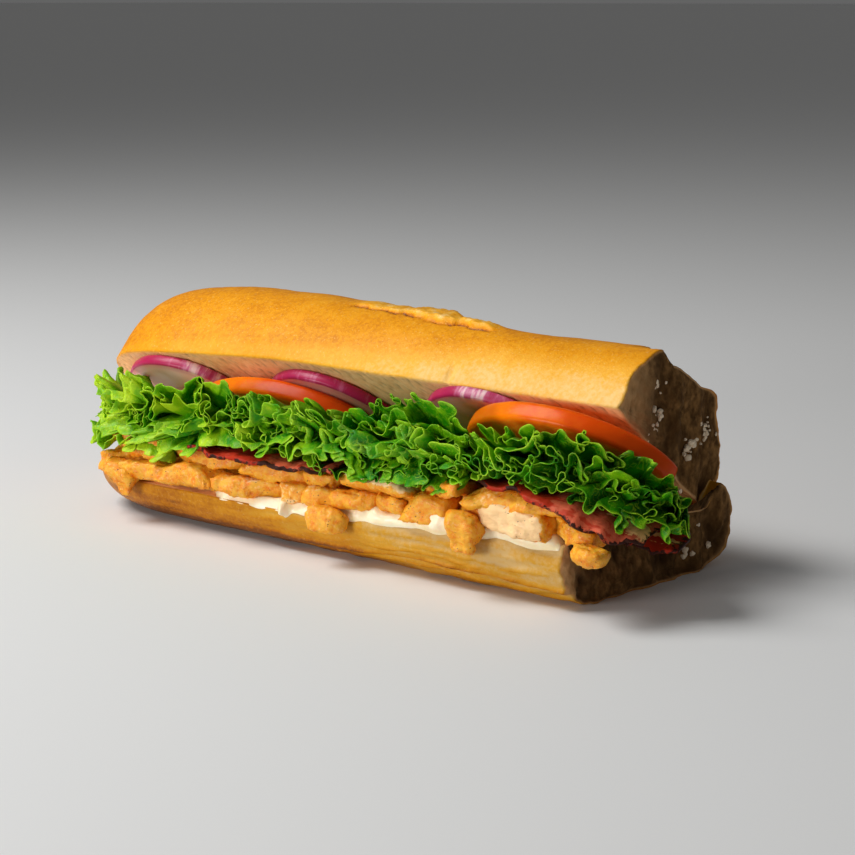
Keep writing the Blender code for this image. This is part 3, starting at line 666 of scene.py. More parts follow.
# Lower half: round front, flat underside, round back and the sloping cut face, closed to rings.
# The relief is - creases + wrinkles + unevenness
def baseHalf():
    x = stationPlaces(roll["baseTip"], breadShape["baseStations"])
    lip = lipHeight(x)
    rise = np.arcsin((lip - roll["frontHeight"]) / roll["frontHeight"])
    frontTurn = -rise + (math.pi / 2 + rise) * np.linspace(0.0, 1.0, breadShape["frontAround"])[None, :]
    front, frontUp = roundArc(frontTurn, roll["frontBulge"], roll["frontHeight"], 2.0)
    backTurn = np.linspace(math.pi / 2, math.radians(-50.0), breadShape["backAround"])[None, :] + 0 * x
    back, backUp = roundArc(backTurn, roll["backBulge"], roll["backHeight"], 2.0)
    flatY = np.linspace(-roll["halfFlat"], roll["halfFlat"], breadShape["flatAround"] + 2)[None, 1:-1] + 0 * x
    lipY = -roll["halfFlat"] - front[:, :1]
    faceShare = np.linspace(0.0, 1.0, breadShape["faceAround"] + 1)[None, :-1]
    faceY = roll["hingeY"] + (lipY - roll["hingeY"]) * faceShare
    faceZ = cutFloor(x, faceY)
    y = np.concatenate([-roll["halfFlat"] - front, flatY, roll["halfFlat"] + back, faceY], axis=1)
    z = np.concatenate([roll["frontHeight"] - frontUp, 0 * flatY, roll["backHeight"] - backUp, faceZ], axis=1)
    onFace = np.concatenate([0 * front, 0 * flatY, 0 * back, 1 + 0 * faceY], axis=1)
    onFace[:, front.shape[1] + flatY.shape[1] + back.shape[1]] = 0.0
    scale = endScale(x, roll["baseTip"])
    y = 3.0 + (y - 3.0) * scale
    z = lip + (z - lip) * scale
    rockerFrom, rockerOver, rockerBy = breadShape["rocker"]
    z = z + rockerBy * smoothStep((rockerFrom - x) / rockerOver) * (1.0 - z / lip)
    along = x + 0 * y
    rings = np.stack([along, y, z], axis=-1)

    facing = smoothStep((-8.0 - y) / 10.0) * (1 - onFace)
    level = z + 1.1 * layeredNoise(spot(along, 0, 0), 26.0, 31, 3)
    overCrease = level - valueAlong(along, creaseShape["height"])
    groove = bell(overCrease, creaseShape["width"]) * smoothStep((along + 60.0) / 50.0)
    for above, start, stop, depth in creaseShape["fine"]:
        bend = 1.6 * layeredNoise(spot(along, above, 0), 15.0, 38, 3)
        reach = within(along, start, 12.0, stop, 12.0)
        groove = groove + depth * reach * bell(overCrease - above + bend, creaseShape["fineWidth"])
    groove = np.minimum(groove, 1.2) * facing
    wrinkles = layeredNoise(spot(along / 9.0, y * 0.4, level), 1.6, 33, 3, 0.6) * facing
    relief = -creaseShape["depth"] * groove
    relief += creaseShape["wrinkles"] * wrinkles * smoothStep((along + 40.0) / 60.0)
    relief += breadShape["lumps"] * layeredNoise(rings, 15.0, 34, 2) * (1 - onFace) * smoothStep(z / 3.0)
    relief += breadShape["skin"] * layeredNoise(rings, 2.4, 35, 2) * (1 - onFace)
    relief -= onFace * 0.3 * smoothStep(1.0 - dotDistance(rings, 1.8, 8) / 0.55)
    rings = raised(rings, relief, scale)
    rings[..., 2] = np.maximum(rings[..., 2], 0.0)

    bake = valueAlong(along, creaseShape["bake"]) + 0.36 * smoothStep((4.6 - level) / 4.0)
    bake += 0.16 * smoothStep((9.5 - level) / 4.0) * smoothStep((30.0 - along) / 60.0)
    bake -= 0.22 * smoothStep((level - lip + 4.5) / 3.5) * smoothStep((along + 30.0) / 50.0)
    # Painted shade: darker in the creases and wrinkle hollows; painted light: paler on the wrinkle crests
    bake += 0.60 * groove - 0.30 * wrinkles + 0.08 * layeredNoise(rings, 14.0, 36, 3)
    bake = np.where(y > 0.0, 0.62 + 0.1 * layeredNoise(rings, 20.0, 37, 3), bake)
    masks = {"crumb": onFace, "bake": bake, "torn": 0.0 * onFace}
    rings, masks, weight = withCap(rings, masks, 1.0, -20.0)
    rings, pitAndShade = poreRelief(slanted(rings, roll["baseSlant"]), weight, -0.2)
    return rings, dict(masks, pitAndShade=pitAndShade)


# The two halves as closed skins, joined by a union where they meet at the back
def makeBread():
    material = breadMaterial()
    halves = []
    for name, (rings, masks) in (("breadRoll", baseHalf()), ("breadUpper", topHalf())):
        halves.append(makePiece(name, *loftSkin(rings), material, None, (), polesToo(masks)))
    lower, upper = halves
    join = lower.modifiers.new("hinge", "BOOLEAN")
    join.operation = "UNION"
    join.solver = "MANIFOLD"
    join.object = upper
    graph = bpy.context.evaluated_depsgraph_get()
    joined = bpy.data.meshes.new_from_object(lower.evaluated_get(graph))
    lower.modifiers.clear()
    lower.data = joined
    bpy.data.objects.remove(upper)
    ridePiece(lower, ["bread"])
    print("bread done,", len(joined.polygons), "faces")


crumbs = {   # y and z on the torn end, how many lie there and how far they spread
    "places": [(3.4, 59.2, 12, 1.3), (4.3, 46.3, 20, 3.8), (28.8, 41.0, 16, 4.2), (21.5, 37.7, 18, 2.6),
               (26.7, 43.4, 10, 2.6), (10.7, 53.2, 8, 6.0), (8.2, 21.6, 6, 6.0), (20.2, 9.0, 6, 6.0)],
    "size": (0.25, 0.95),
    "colour": (1.0, 0.82, 0.60),
    "upperFrom": 24.0,   # z over which they lie on the upper half
}


# Loose lumps on the torn end: little spheres r = size (1 + noise), all joined in one mesh
def makeCrumbs():
    draw = np.random.default_rng(12)
    turn = np.linspace(0, 2 * math.pi, 12, endpoint=False)[None, :]
    lift = np.linspace(-math.pi / 2, math.pi / 2, 9)[1:-1][:, None]
    unit = spot(np.cos(lift) * np.cos(turn), np.cos(lift) * np.sin(turn), np.sin(lift))
    points, quads, fans = [], [], []
    count = 0
    for y, z, number, spread in crumbs["places"]:
        slant = roll["topSlant"] if z > crumbs["upperFrom"] else roll["baseSlant"]
        for aside, over in draw.normal(0.0, spread * 0.5, (number, 2)):
            x = roll["rightEnd"] + slant * (y + aside - roll["tearPivot"]) + 0.2
            centre = np.array([x, y + aside, z + over])
            size = draw.uniform(*crumbs["size"])
            rings = unit * (size * (1.0 + 0.8 * layeredNoise(unit + centre * 3.0, 0.9, 91, 2)))[..., None]
            lump, sides, tips = loftSkin(rings + centre)
            points.append(lump)
            quads.append(sides + count)
            fans.append(tips + count)
            count += len(lump)
    material, tree, shader, place, _ = startMaterial("looseCrumb", {"Roughness": 0.9})
    shader.inputs["Base Color"].default_value = (*crumbs["colour"], 1.0)
    addBump(tree, shader, noiseOf(tree, place, 0.5, 3.0), 0.5, 0.2)
    makePiece("looseCrumbs", np.vstack(points), np.vstack(quads), np.vstack(fans), material, "bread")


creamLook = {"colour": (0.99, 0.86, 0.62), "shade": (0.97, 0.76, 0.44), "Roughness": 0.32,
             "Subsurface Weight": 0.15, "Subsurface Scale": 0.003}

cream = {
    "columns": 330,
    "rows": 40,
    "ends": (-93.0, 92.0),
    "backY": 17.0,
    "thickness": 0.9,
    "bead": [(-93, 0.3), (-70, 0.5), (-55, 1.5), (-10, 2.3), (12, 2.2), (30, 2.8), (64, 3.1), (92, 2.8)],
    "overhang": [(-93, -1.5), (-72, -1.0), (-50, 0.0), (-12, 0.2), (10, 0.4), (40, 0.7), (64, 1.3),
                 (92, 1.0)],
    "unevenness": 1.3,
    "drips": [(-7.6, 2.0, 2.0), (19.0, 0.8, 2.8), (66.0, 1.0, 3.0), (84.0, 0.8, 4.0)],   # x, length, width
    "bare": (-34.0, 12.0, 7.0),   # left of here, over this, it stays back by this
}


# Two tones of cream, by the broad mottling
def creamMaterial():
    material, tree, shader, place, mottle = startMaterial("mayonnaise", creamLook)
    colour = blendOf(tree, rangeOf(tree, mottle["Broad"], 0.35, 0.7), creamLook["colour"], creamLook["shade"])
    tree.links.new(colour, shader.inputs["Base Color"])
    addBump(tree, shader, noiseOf(tree, place, 2.0, 3.0), 0.25, 0.5)
    return material


# Rows run from the back over the lower cut face and on over the lip: past the lip the
# distance d turns down the front ellipse; the upper skin stands off by a thickness that
# swells to a bead at the lip
def makeCream():
    start, stop = cream["ends"]
    bareFrom, bareOver, bareBy = cream["bare"]
    middle = roll["frontHeight"]
    x = np.linspace(start, stop, cream["columns"])[None, :]
    over = valueAlong(x, cream["overhang"])
    over = over + cream["unevenness"] * layeredNoise(spot(x, 0, 0), 10.0, 41, 3, 0.4)
    for dripX, drip, width in cream["drips"]:
        over = over + drip * bell(x - dripX, width)
    over -= bareBy * smoothStep((bareFrom - x) / bareOver)
    lipY = -roll["halfFlat"] - roll["frontBulge"] * np.sqrt(1.0 - ((lipHeight(x) - middle) / middle) ** 2)
    toLip = cream["backY"] - lipY
    length = toLip + over
    share = 1.0 - (1.0 - np.linspace(0.0, 1.0, cream["rows"])[:, None]) ** 1.6
    gone = share * length
    y = np.maximum(cream["backY"] - gone, lipY)
    past = np.maximum(gone - toLip, 0.0)
    z = cutFloor(x, y) - past
    out = np.sqrt(np.maximum(1.0 - ((z - middle) / middle) ** 2, 0.0)) * roll["frontBulge"]
    under = spot(x, np.where(past > 0.0, -roll["halfFlat"] - out, y), z)
    left = length - gone
    bead = valueAlong(x, cream["bead"]) * bell(left - 2.6, 2.6)
    thick = cream["thickness"] + bead * (1.0 + 1.1 * layeredNoise(under, 8.0, 43, 3, 0.4))
    thick = thick * smoothStep(left / 1.8 + 0.02) * smoothStep((gone + 0.1) / 2.0) + 0.02
    thick *= smoothStep((x - start) / 3.0 + 0.02) * smoothStep((stop - x) / 3.0 + 0.02)
    lifted = gridNormals(under)
    lifted *= np.sign(lifted[..., 2:].mean())
    points, quads = shellBetween(under + lifted * (thick + 0.12)[..., None], under + lifted * 0.06)
    makePiece("mayonnaiseSpread", points, quads, None, creamMaterial(), "cream", ["mayonnaise"])
    print("cream done")


chickenLook = {"orange": (0.82, 0.265, 0.002), "deep": (0.74, 0.155, 0.002), "light": (0.86, 0.41, 0.025),
               "flesh": (0.92, 0.60, 0.29), "pepper": (0.12, 0.040, 0.010),
               "Roughness": 0.45, "Specular IOR Level": 0.3, "Subsurface Weight": 0.08,
               "Subsurface Scale": 0.002, "Coat Weight": 0.05}

# x, length, y, depth, lift above the cream, height, how much pale flesh shows, where it faces
chicken = [
    (-81.5, 17.0, -28.5, 16.0, -0.3, 5.6, 0.1, (0, 0, 1)),
    (-54.0, 42.0, -30.5, 18.0, -0.7, 6.2, 0.1, (0, 0, 1)),
    (-22.0, 24.0, -30.0, 14.0, 0.0, 4.8, 0.3, (0, 0, 1)),
    (-4.5, 11.0, -29.0, 15.0, 0.0, 5.4, 0.3, (0, -1, 0)),
    (7.0, 10.5, -30.0, 13.0, 0.0, 5.0, 0.4, (0, 0, 1)),
    (19.5, 13.0, -30.5, 13.0, 0.0, 5.2, 0.1, (0, 0, 1)),
    (32.5, 11.5, -29.5, 14.0, 0.0, 5.4, -0.1, (0, 0, 1)),
    (46.0, 14.0, -30.0, 14.0, 0.0, 6.6, 0.1, (0, 0, 1)),
    (61.0, 14.5, -28.0, 13.0, 0.0, 6.2, 0.0, (0, 0, 1)),
    (78.0, 21.5, -30.0, 15.0, 0.0, 6.4, 1.3, (0, -1, 0)),
    (96.5, 14.0, -29.0, 14.0, 0.0, 4.2, 0.15, (0, -1, 0)),
    (-73.0, 28.0, -28.0, 16.0, 6.4, 5.6, 0.6, (0, 0, 1)),
    (-42.5, 31.0, -28.0, 15.0, 6.6, 4.4, 0.1, (0, 0, 1)),
    (-14.0, 24.0, -28.0, 15.0, 5.6, 5.6, 0.2, (0, 0, 1)),
    (4.5, 12.0, -28.0, 14.0, 5.6, 5.6, 0.2, (0, 0, 1)),
    (28.5, 27.0, -29.0, 16.0, 5.9, 5.6, 0.7, (0, 0, 1)),
    (51.0, 17.0, -28.5, 15.0, 7.0, 4.0, 0.1, (0, 0, 1)),
    (80.0, 40.0, -29.5, 16.0, 6.5, 3.7, 0.25, (0, 0, 1)),
    (-74.2, 10.5, -39.0, 6.2, -4.8, 8.0, -0.2, (0, -1, 0)),
    (12.6, 11.0, -39.2, 5.8, -5.6, 6.0, 0.0, (0, 0, 1)),
    (62.6, 9.5, -39.0, 5.4, -6.4, 10.0, -0.2, (0, -1, 0)),
    (104.8, 10.5, -39.6, 5.8, -3.6, 4.0, 0.0, (0, 0, 1)),
]
chickenShape = {
    "overCream": 1.9,       # mm from the cut face to the lowest pieces
    "slants": 10,           # cuts across the corners of a piece
    "slantAt": (0.80, 1.2),
    "sharp": 14.0,
    "boxy": {10: 0.7, 20: 0.12, 21: 0.2, 22: 0.15},         # pieces cut less
    "tapers": {19: 0.5, 20: 0.15, 21: 0.4, 22: 0.1},        # and narrower at the bottom
    "swollen": 0.8,         # mm
    "skew": 4.0,            # mm at the ends
    "warp": 2.1,            # mm
    "warpSize": 8.0,
    "bumps": 0.6, "ridges": 1.3, "grain": 0.55, "creases": 0.7,   # mm of each relief
}
innerChicken = {   # behind the rows that show
    "rows": [(-9.5, 18.0, 5.0), (9.0, 16.0, 3.9)],   # y, depth, height
    "spans": [(-98.0, -40.0), (-39.0, 24.0), (25.0, 97.0)],
    "flesh": 0.3, "spacing": 2.4, "rough": 0.5,
}


# Skin in three tones by noise, pale flecks, flesh by its mask, and grains of pepper
def chickenMaterial():
    material, tree, shader, place, mottle = startMaterial("roastChicken", chickenLook)
    patches = noiseOf(tree, place, 2.6, 6.0, 0.72)
    skin = rampOf(tree, patches, [(0.33, chickenLook["deep"]), (0.43, chickenLook["orange"]),
                                  (0.56, chickenLook["light"])])
    fleck = rangeOf(tree, noiseOf(tree, place, 0.9, 3.0, 0.6), 0.55, 0.68)
    skin = blendOf(tree, mathOf(tree, "MULTIPLY", fleck, 0.35), skin, chickenLook["flesh"])
    flesh = unevenly(tree, maskOf(tree, "flesh"), mottle["Fine"], 0.25)
    colour = blendOf(tree, rangeOf(tree, flesh, 0.4, 0.75), skin, chickenLook["flesh"])
    grains = rangeOf(tree, noiseOf(tree, place, 0.75, 1.0), 0.69, 0.73)
    strewn = rangeOf(tree, noiseOf(tree, place, 5.0, 2.0), 0.46, 0.56)
    colour = blendOf(tree, mathOf(tree, "MULTIPLY", grains, strewn), colour, chickenLook["pepper"])
    tree.links.new(colour, shader.inputs["Base Color"])
    fibres = noiseOf(tree, stretched(tree, place, (0.6, 2.0, 2.0)), 1.8, 4.0)
    addBump(tree, shader, mathOf(tree, "ADD", noiseOf(tree, place, 1.1, 5.0, 0.7), fibres), 0.55, 0.5)
    return material


# Angles about a box's outline at even distances along it: the lengths of small steps of a
# rounded outline, added up and cut into equal parts
def evenTurns(across, up, start, stop, spacing):
    turn = np.linspace(start, stop, 2000)
    radius = (np.abs(np.cos(turn)) ** 8 + np.abs(np.sin(turn)) ** 8) ** -0.125
    step = np.hypot(np.diff(across / 2 * radius * np.cos(turn)), np.diff(up / 2 * radius * np.sin(turn)))
    gone = np.concatenate([[0.0], np.cumsum(step)])
    return np.interp(np.linspace(0.0, gone[-1], int(gone[-1] / spacing) + 2), gone, turn)


# Cut lump: the distance out along a ray is 1 / (sum of (ray . n / d)^p)^(1/p) over a box's
# six planes and a few slanting ones, stretched to its box, skewed and warped, then
# roughened along its normals by layered noise
def makeChunk(number, box, flesh, facing, material, spacing=1.0, rough=1.0):
    draw = random.Random(number)
    centre, size = np.array(box[:3]), np.array(box[3:])
    turn = evenTurns(size[0], size[1], 0.0, 2 * math.pi, spacing * 0.92)[:-1]
    lift = evenTurns(size[1], size[2], -math.pi / 2, math.pi / 2, spacing * 0.75)[1:-1]
    lift, turn = np.meshgrid(lift, turn, indexing="ij")
    ray = np.stack([np.cos(lift) * np.cos(turn), np.cos(lift) * np.sin(turn), np.sin(lift)], axis=-1)
    slants = np.array([[draw.gauss(0, 1) for _ in range(3)] for _ in range(chickenShape["slants"])])
    slants /= np.linalg.norm(slants, axis=1, keepdims=True)
    normals = np.vstack([np.eye(3), -np.eye(3), slants])
    boxy = chickenShape["boxy"].get(number, 0.0)
    away = np.array([1.0] * 6 + [boxy + draw.uniform(*chickenShape["slantAt"]) for _ in slants])
    push = np.maximum(ray @ normals.T, 0.0) / away
    unit = ray / ((push ** chickenShape["sharp"]).sum(axis=-1) ** (1.0 / chickenShape["sharp"]))[..., None]
    unit = unit / np.abs(unit).max(axis=(0, 1))
    taper = chickenShape["tapers"].get(number, 0.0) * smoothStep(0.5 - unit[..., 2])[..., None]
    unit = unit * (1.0 - taper * [1.0, 1.0, 0.0])
    shape = unit * (size / 2 + chickenShape["swollen"])
    skew = 2.0 * chickenShape["skew"] / size[0] * min(1.0, size[0] / 20.0) * (1.0 - boxy)
    shape[..., 1] += shape[..., 0] * draw.uniform(-skew, skew)
    shape[..., 2] += shape[..., 0] * draw.uniform(-skew, skew) * 0.6
    rings = centre + shape
    warp = [layeredNoise(rings, chickenShape["warpSize"], number + seed, 2) for seed in (300, 340, 380)]
    bending = rough * chickenShape["warp"] * min(1.0, size[0] / 16.0)
    rings = rings + bending * np.stack(warp, axis=-1) * [1.0, 0.8, 0.5]
    normal = gridNormals(rings, True)
    normal *= np.sign((normal * unit).sum(axis=-1).mean())
    ridges = 0.22 - np.abs(layeredNoise(rings * [0.7, 1.0, 1.2], 3.0, number + 90, 4, 0.7))
    crease = 1.0 - np.abs(layeredNoise(rings * [0.45, 1.0, 1.3], 4.0, number + 130, 2)) / 0.10
    relief = chickenShape["bumps"] * layeredNoise(rings, 5.0, number + 50, 2)
    relief += chickenShape["ridges"] * ridges
    relief += chickenShape["grain"] * layeredNoise(rings, 1.7, number + 110, 2, 0.7)
    relief -= chickenShape["creases"] * smoothStep(crease)
    poles = smoothStep(np.cos(lift) * 5.0)
    rings = rings + normal * (rough * relief * poles)[..., None]
    towards = (normal * np.array(facing, float)).sum(axis=-1)
    pale = flesh * smoothStep((towards - 0.2) / 0.5) + 0.3 * flesh
    pale = pale + 0.35 * layeredNoise(rings, 7.0, number + 7, 2)
    pale -= 0.7 * smoothStep((np.abs(unit[..., 0]) - 0.70) / 0.2)
    makePiece("chickenPiece_%02d" % number, *loftSkin(rings), material, "chicken",
              ["chicken_%02d" % number], polesToo({"flesh": pale}))


# A piece stands on the cut face, over the cream, by its lift and half its height
def makeChicken():
    material = chickenMaterial()
    for number, (x, length, y, depth, lift, height, flesh, facing) in enumerate(chicken, 1):
        floor = float(cutFloor(x, max(y, roll["lipY"]) + depth / 3)) + chickenShape["overCream"]
        makeChunk(number, (x, y, floor + lift + height / 2, length, depth, height), flesh, facing, material)
    number = len(chicken)
    for y, depth, height in innerChicken["rows"]:
        for start, stop in innerChicken["spans"]:
            number += 1
            floor = max(float(cutFloor(x, y + depth / 2)) for x in (start, stop)) + chickenShape["overCream"]
            box = ((start + stop) / 2, y, floor + height / 2, stop - start, depth, height)
            makeChunk(number, box, innerChicken["flesh"], (0, 0, 1), material,
                      innerChicken["spacing"], innerChicken["rough"])
    print("chicken done,", number, "pieces")


baconLook = {"lean": (0.42, 0.026, 0.008), "pink": (0.56, 0.100, 0.045), "fat": (0.88, 0.48, 0.18),
             "char": (0.035, 0.008, 0.004), "Roughness": 0.5, "Specular IOR Level": 0.12,
             "Subsurface Weight": 0.1, "Subsurface Scale": 0.002}

bacon = {   # x, y, z of both edges; drape is how far the front edge hangs; fatPatch x, y, size
    "bacon_left": {
        "front": [(-46, -38, 28.0), (-22, -39, 28.8), (0, -38, 29.6), (13, -37, 30.0)],
        "back": [(-44, -17, 27.2), (-22, -16, 27.6), (0, -17, 28.4), (14, -18, 29.0)],
        "waves": 4.5, "fatAt": 0.62, "pinkFrom": -16.0, "seed": 0,
        "drape": [(-46, 0.5), (-22, 1.5), (0, 2.5), (13, 1.5)]},
    "bacon_right": {
        "front": [(62.5, -36, 33.2), (80, -38, 33.6), (98, -38, 31.8), (109, -35, 26.4), (115, -29, 22.8)],
        "back": [(62.5, -20, 32.2), (80, -19, 32.0), (98, -16, 30.6), (108, -13, 28.2), (114, -12, 25.4)],
        "waves": 4.5, "fatAt": 0.80, "pinkFrom": 86.0, "seed": 1, "fatPatch": (111.5, -27.0, 4.0),
        "drape": [(62, 0.3), (78, 0.8), (88, 2.5), (98, 4.5), (108, 3.5), (115, 1.5)]},
    "bacon_tip": {
        "front": [(105, -25, 20.6), (108, -24, 20.0), (113, -21, 18.8), (119, -17, 17.6)],
        "back": [(105, -10, 22.6), (108, -9, 22.4), (112, -8, 21.0), (118, -9, 19.4)],
        "waves": 2.0, "fatAt": 0.5, "pinkFrom": 118.0, "seed": 2,
        "drape": [(105, 0.5), (119, 0.5)]},
}
baconShape = {"rows": 34, "spacing": 0.28, "thickness": 1.15, "wave": 0.55, "crinkle": 0.9, "ragged": 1.1,
              "char": 0.80, "charSpread": 1.5}


# Lean to pink by a long grain, then fat and char over it by their masks
def baconMaterial():
    material, tree, shader, place, mottle = startMaterial("friedBacon", baconLook)
    grain = noiseOf(tree, stretched(tree, place, (0.3, 1.6, 1.6)), 3.0, 4.0)
    pinkness = mathOf(tree, "ADD", maskOf(tree, "pink"), rangeOf(tree, grain, 0.35, 0.65, -0.6, 0.45))
    meat = blendOf(tree, rangeOf(tree, pinkness, 0.3, 0.7), baconLook["lean"], baconLook["pink"])
    fatness = unevenly(tree, maskOf(tree, "fat"), mottle["Fine"], 0.2)
    colour = blendOf(tree, rangeOf(tree, fatness, 0.45, 0.7), meat, baconLook["fat"])
    burnt = unevenly(tree, maskOf(tree, "char"), mottle["Fine"], 0.3)
    colour = blendOf(tree, rangeOf(tree, burnt, 0.45, 0.75), colour, baconLook["char"])
    tree.links.new(colour, shader.inputs["Base Color"])
    addBump(tree, shader, noiseOf(tree, stretched(tree, place, (0.5, 1.5, 1.5)), 1.6, 4.0), 0.6, 0.4)
    return material


# Ruled surface between the front and back edges, rippled by sines along it that fade
# towards the back, with the very edge crinkled by noise
def makeBacon():
    material = baconMaterial()
    rows, spacing = baconShape["rows"], baconShape["spacing"]
    for name, rasher in bacon.items():
        seed = rasher["seed"]
        columns = int(abs(rasher["front"][-1][0] - rasher["front"][0][0]) / spacing)
        front = pathThrough(rasher["front"], columns)[None, :, :]
        back = pathThrough(rasher["back"], columns)[None, :, :]
        share = np.linspace(0.0, 1.0, rows)[:, None]
        run = np.linspace(0.0, 1.0, columns)[None, :]
        grid = front * (1 - share[..., None]) + back * share[..., None]
        wave = np.sin(run * 2 * math.pi * rasher["waves"] + seed) * (1.0 - share * 0.6)
        grid[..., 2] += baconShape["wave"] * wave
        flat = grid * [1.0, 0.25, 0.0]
        near = np.exp(-share * rows * 0.10)
        grid[..., 2] += near * (baconShape["crinkle"] * layeredNoise(flat, 3.2, 61 + seed, 3) + 0.3)
        grid[..., 1] += near * baconShape["ragged"] * layeredNoise(flat, 4.0, 64 + seed, 3)
        grid[..., 1] += 0.7 * np.sin(run * 31 + seed) * (1 - share)
        grid[..., 2] += 0.3 * layeredNoise(grid, 5.0, 67 + seed, 3)
        hang = valueAlong(grid[..., 0], rasher["drape"])
        grid[..., 2] -= hang * np.exp(-share * 9.0)
        grid[..., 1] -= 0.5 * hang * np.exp(-share * 5.0)
        points, quads = sheetSkin(grid, baconShape["thickness"] + 0.3 * layeredNoise(grid, 4.0, 69, 2))
        edge = np.minimum(share, 1.0 - share) * 20.0
        wide = np.clip(0.55 + 1.3 * layeredNoise(flat, 9.0, 70 + seed, 3), 0.08, 2.0)
        char = baconShape["char"] + baconShape["charSpread"] * layeredNoise(flat, 6.0, 74 + seed, 3)
        ends = np.minimum(run, 1 - run) * columns * spacing
        char = np.maximum(char * np.exp(-edge / wide), 0.9 * np.exp(-ends / 2.0))
        fat = bell(share - rasher["fatAt"] - 0.06 * np.sin(run * 9.0 + seed), 0.10)
        fat = fat + 0.5 * bell(share - 0.3 + 0.05 * np.sin(run * 14), 0.04)
        if "fatPatch" in rasher:
            patchX, patchY, patchSize = rasher["fatPatch"]
            fat = fat + 1.4 * bell(grid[..., 0] - patchX, patchSize) * bell(grid[..., 1] - patchY, patchSize)
        pink = smoothStep((grid[..., 0] - rasher["pinkFrom"]) / 8.0)
        masks = {"char": char, "fat": fat, "pink": pink}
        makePiece(name + "Rasher", points, quads, None, material, "bacon", [name],
                  {label: np.tile(values.ravel(), 2) for label, values in masks.items()})
    print("bacon done")


# deep is the green of painted shade, the lit tone its painted light
leafLook = {"deep": (0.006, 0.075, 0.001), "green": (0.026, 0.235, 0.001), "litTone": (0.19, 0.44, 0.003),
            "pale": (0.42, 0.62, 0.012), "rim": (0.38, 0.62, 0.020),
            "Roughness": 0.42, "Specular IOR Level": 0.20, "Subsurface Weight": 0.2,
            "Subsurface Scale": 0.0015, "Subsurface Radius": (0.5, 1.0, 0.1)}

leaves = {   # plan of the inner row and of the edge, then the edge's height over the share of its length
    "lettuce_left_low": {
        "inner": [(-84, -6), (-60, 0), (-22, 3)], "innerHeight": 24.7,
        "edge": [(-99, -9), (-100, -24), (-90, -37), (-72, -41), (-46, -41), (-21.5, -40)],
        "heights": [(0, 32), (0.2, 27.5), (0.4, 28), (0.62, 28), (0.75, 29.5), (0.88, 34), (1, 35.5)],
        "copies": [(0.0, 0.0, 0), (5.0, -2.0, 40), (9.5, -4.0, 80)],
        "lean": -0.7, "period": 13.0, "phase": 0.3, "seed": 1, "ruffleLength": 7.2, "crimpShare": 0.6},
    "lettuce_left_top": {
        "inner": [(-82, -6), (-60, 0), (-26, 3)], "innerHeight": 27.0,
        "edge": [(-97, -8), (-98, -24), (-88, -36), (-70, -40), (-46, -40), (-25, -39)],
        "heights": [(0, 38), (0.2, 40), (0.4, 43), (0.62, 46), (0.75, 48), (0.88, 47.5), (1, 45)],
        "copies": [(0.0, 0.0, 0), (-5.0, -1.5, 40), (-9.5, -3.5, 80)],
        "lean": 0.25, "period": 11.0, "phase": 2.6, "seed": 2, "ruffleLength": 7.2, "crimpShare": 0.6},
    "lettuce_middle_low": {
        "inner": [(-19.5, 3), (61, 3)], "innerHeight": 26.2,
        "edge": [(-19.5, -41), (61, -41)],
        "heights": [(0, 35.5), (0.25, 36), (0.4, 36.5), (0.52, 34.5), (0.7, 35), (0.85, 36.5), (1, 38.5)],
        "lean": -0.6, "period": 13.0, "phase": 1.2, "seed": 3},
    "lettuce_middle_mid": {
        "inner": [(-22, 3), (61, 3)], "innerHeight": 27.0,
        "edge": [(-23, -40), (62, -41)],
        "heights": [(0, 44.5), (0.25, 43.5), (0.4, 42.5), (0.5, 41), (0.8, 41), (1, 42.5)],
        "lean": 0.2, "period": 12.0, "phase": 3.3, "seed": 4},
    "lettuce_middle_top": {
        "inner": [(13, 3), (34, 3)], "innerHeight": 29.0,
        "edge": [(17, -37), (63, -38)],
        "heights": [(0, 38), (0.25, 42), (0.45, 46.5), (0.75, 46), (1, 43)], "calm": 0.15,
        "lean": 0.5, "period": 13.0, "phase": 5.0, "seed": 5},
    "lettuce_right_low": {
        "inner": [(63, 3), (82, 1), (97, -4)], "innerHeight": 26.8,
        "edge": [(63, -40), (86, -40), (104, -37), (117, -29), (122, -19), (118, -10)],
        "heights": [(0, 38.5), (0.25, 39.5), (0.45, 38.5), (0.6, 35.5), (0.75, 30.5), (0.9, 26), (1, 24.5)],
        "copies": [(0.0, 0.0, 0), (-2.5, -3.0, 40), (3.0, -4.0, 80)],
        "lean": -0.3, "period": 12.0, "phase": 2.6, "seed": 6},
    "lettuce_right_mid": {
        "inner": [(64, 3), (82, 1), (95, -4)], "innerHeight": 28.6,
        "edge": [(65, -40), (86, -40), (103, -36), (114, -28), (119, -19), (115, -10)],
        "heights": [(0, 44), (0.12, 43), (0.25, 46), (0.42, 45.5), (0.6, 40.5), (0.75, 34), (0.9, 26.5),
                    (1, 24)],
        "lean": 0.35, "period": 11.0, "phase": 0.9, "seed": 7},
}

leafShape = {
    "rows": 20,
    "columnsPerMm": 3.4,
    "fold": math.radians(56.0),       # swing of the broad folds at the edge
    "ruffle": math.radians(84.0),     # and of the ruffles on them
    "ruffleLength": 5.4,
    "crimp": math.radians(55.0),      # and of the fine crimping of the last few millimetres
    "crimpLength": 2.5,
    "leanSpread": 1.15,
    "unevenness": 3.2,                # mm, of the edge's height
    "thickness": 0.30,
    "copies": [(0.0, 0.0, 0), (-4.0, -2.5, 40), (3.0, -4.0, 80)],   # the leaf and its doubled parts
    # Painted shade: the leaves' tone falls from left to right, towards the end in shade
    "litTone": [(-100, 0.78), (-45, 0.64), (-15, 0.42), (60, 0.44), (90, 0.32), (125, 0.22)],
}


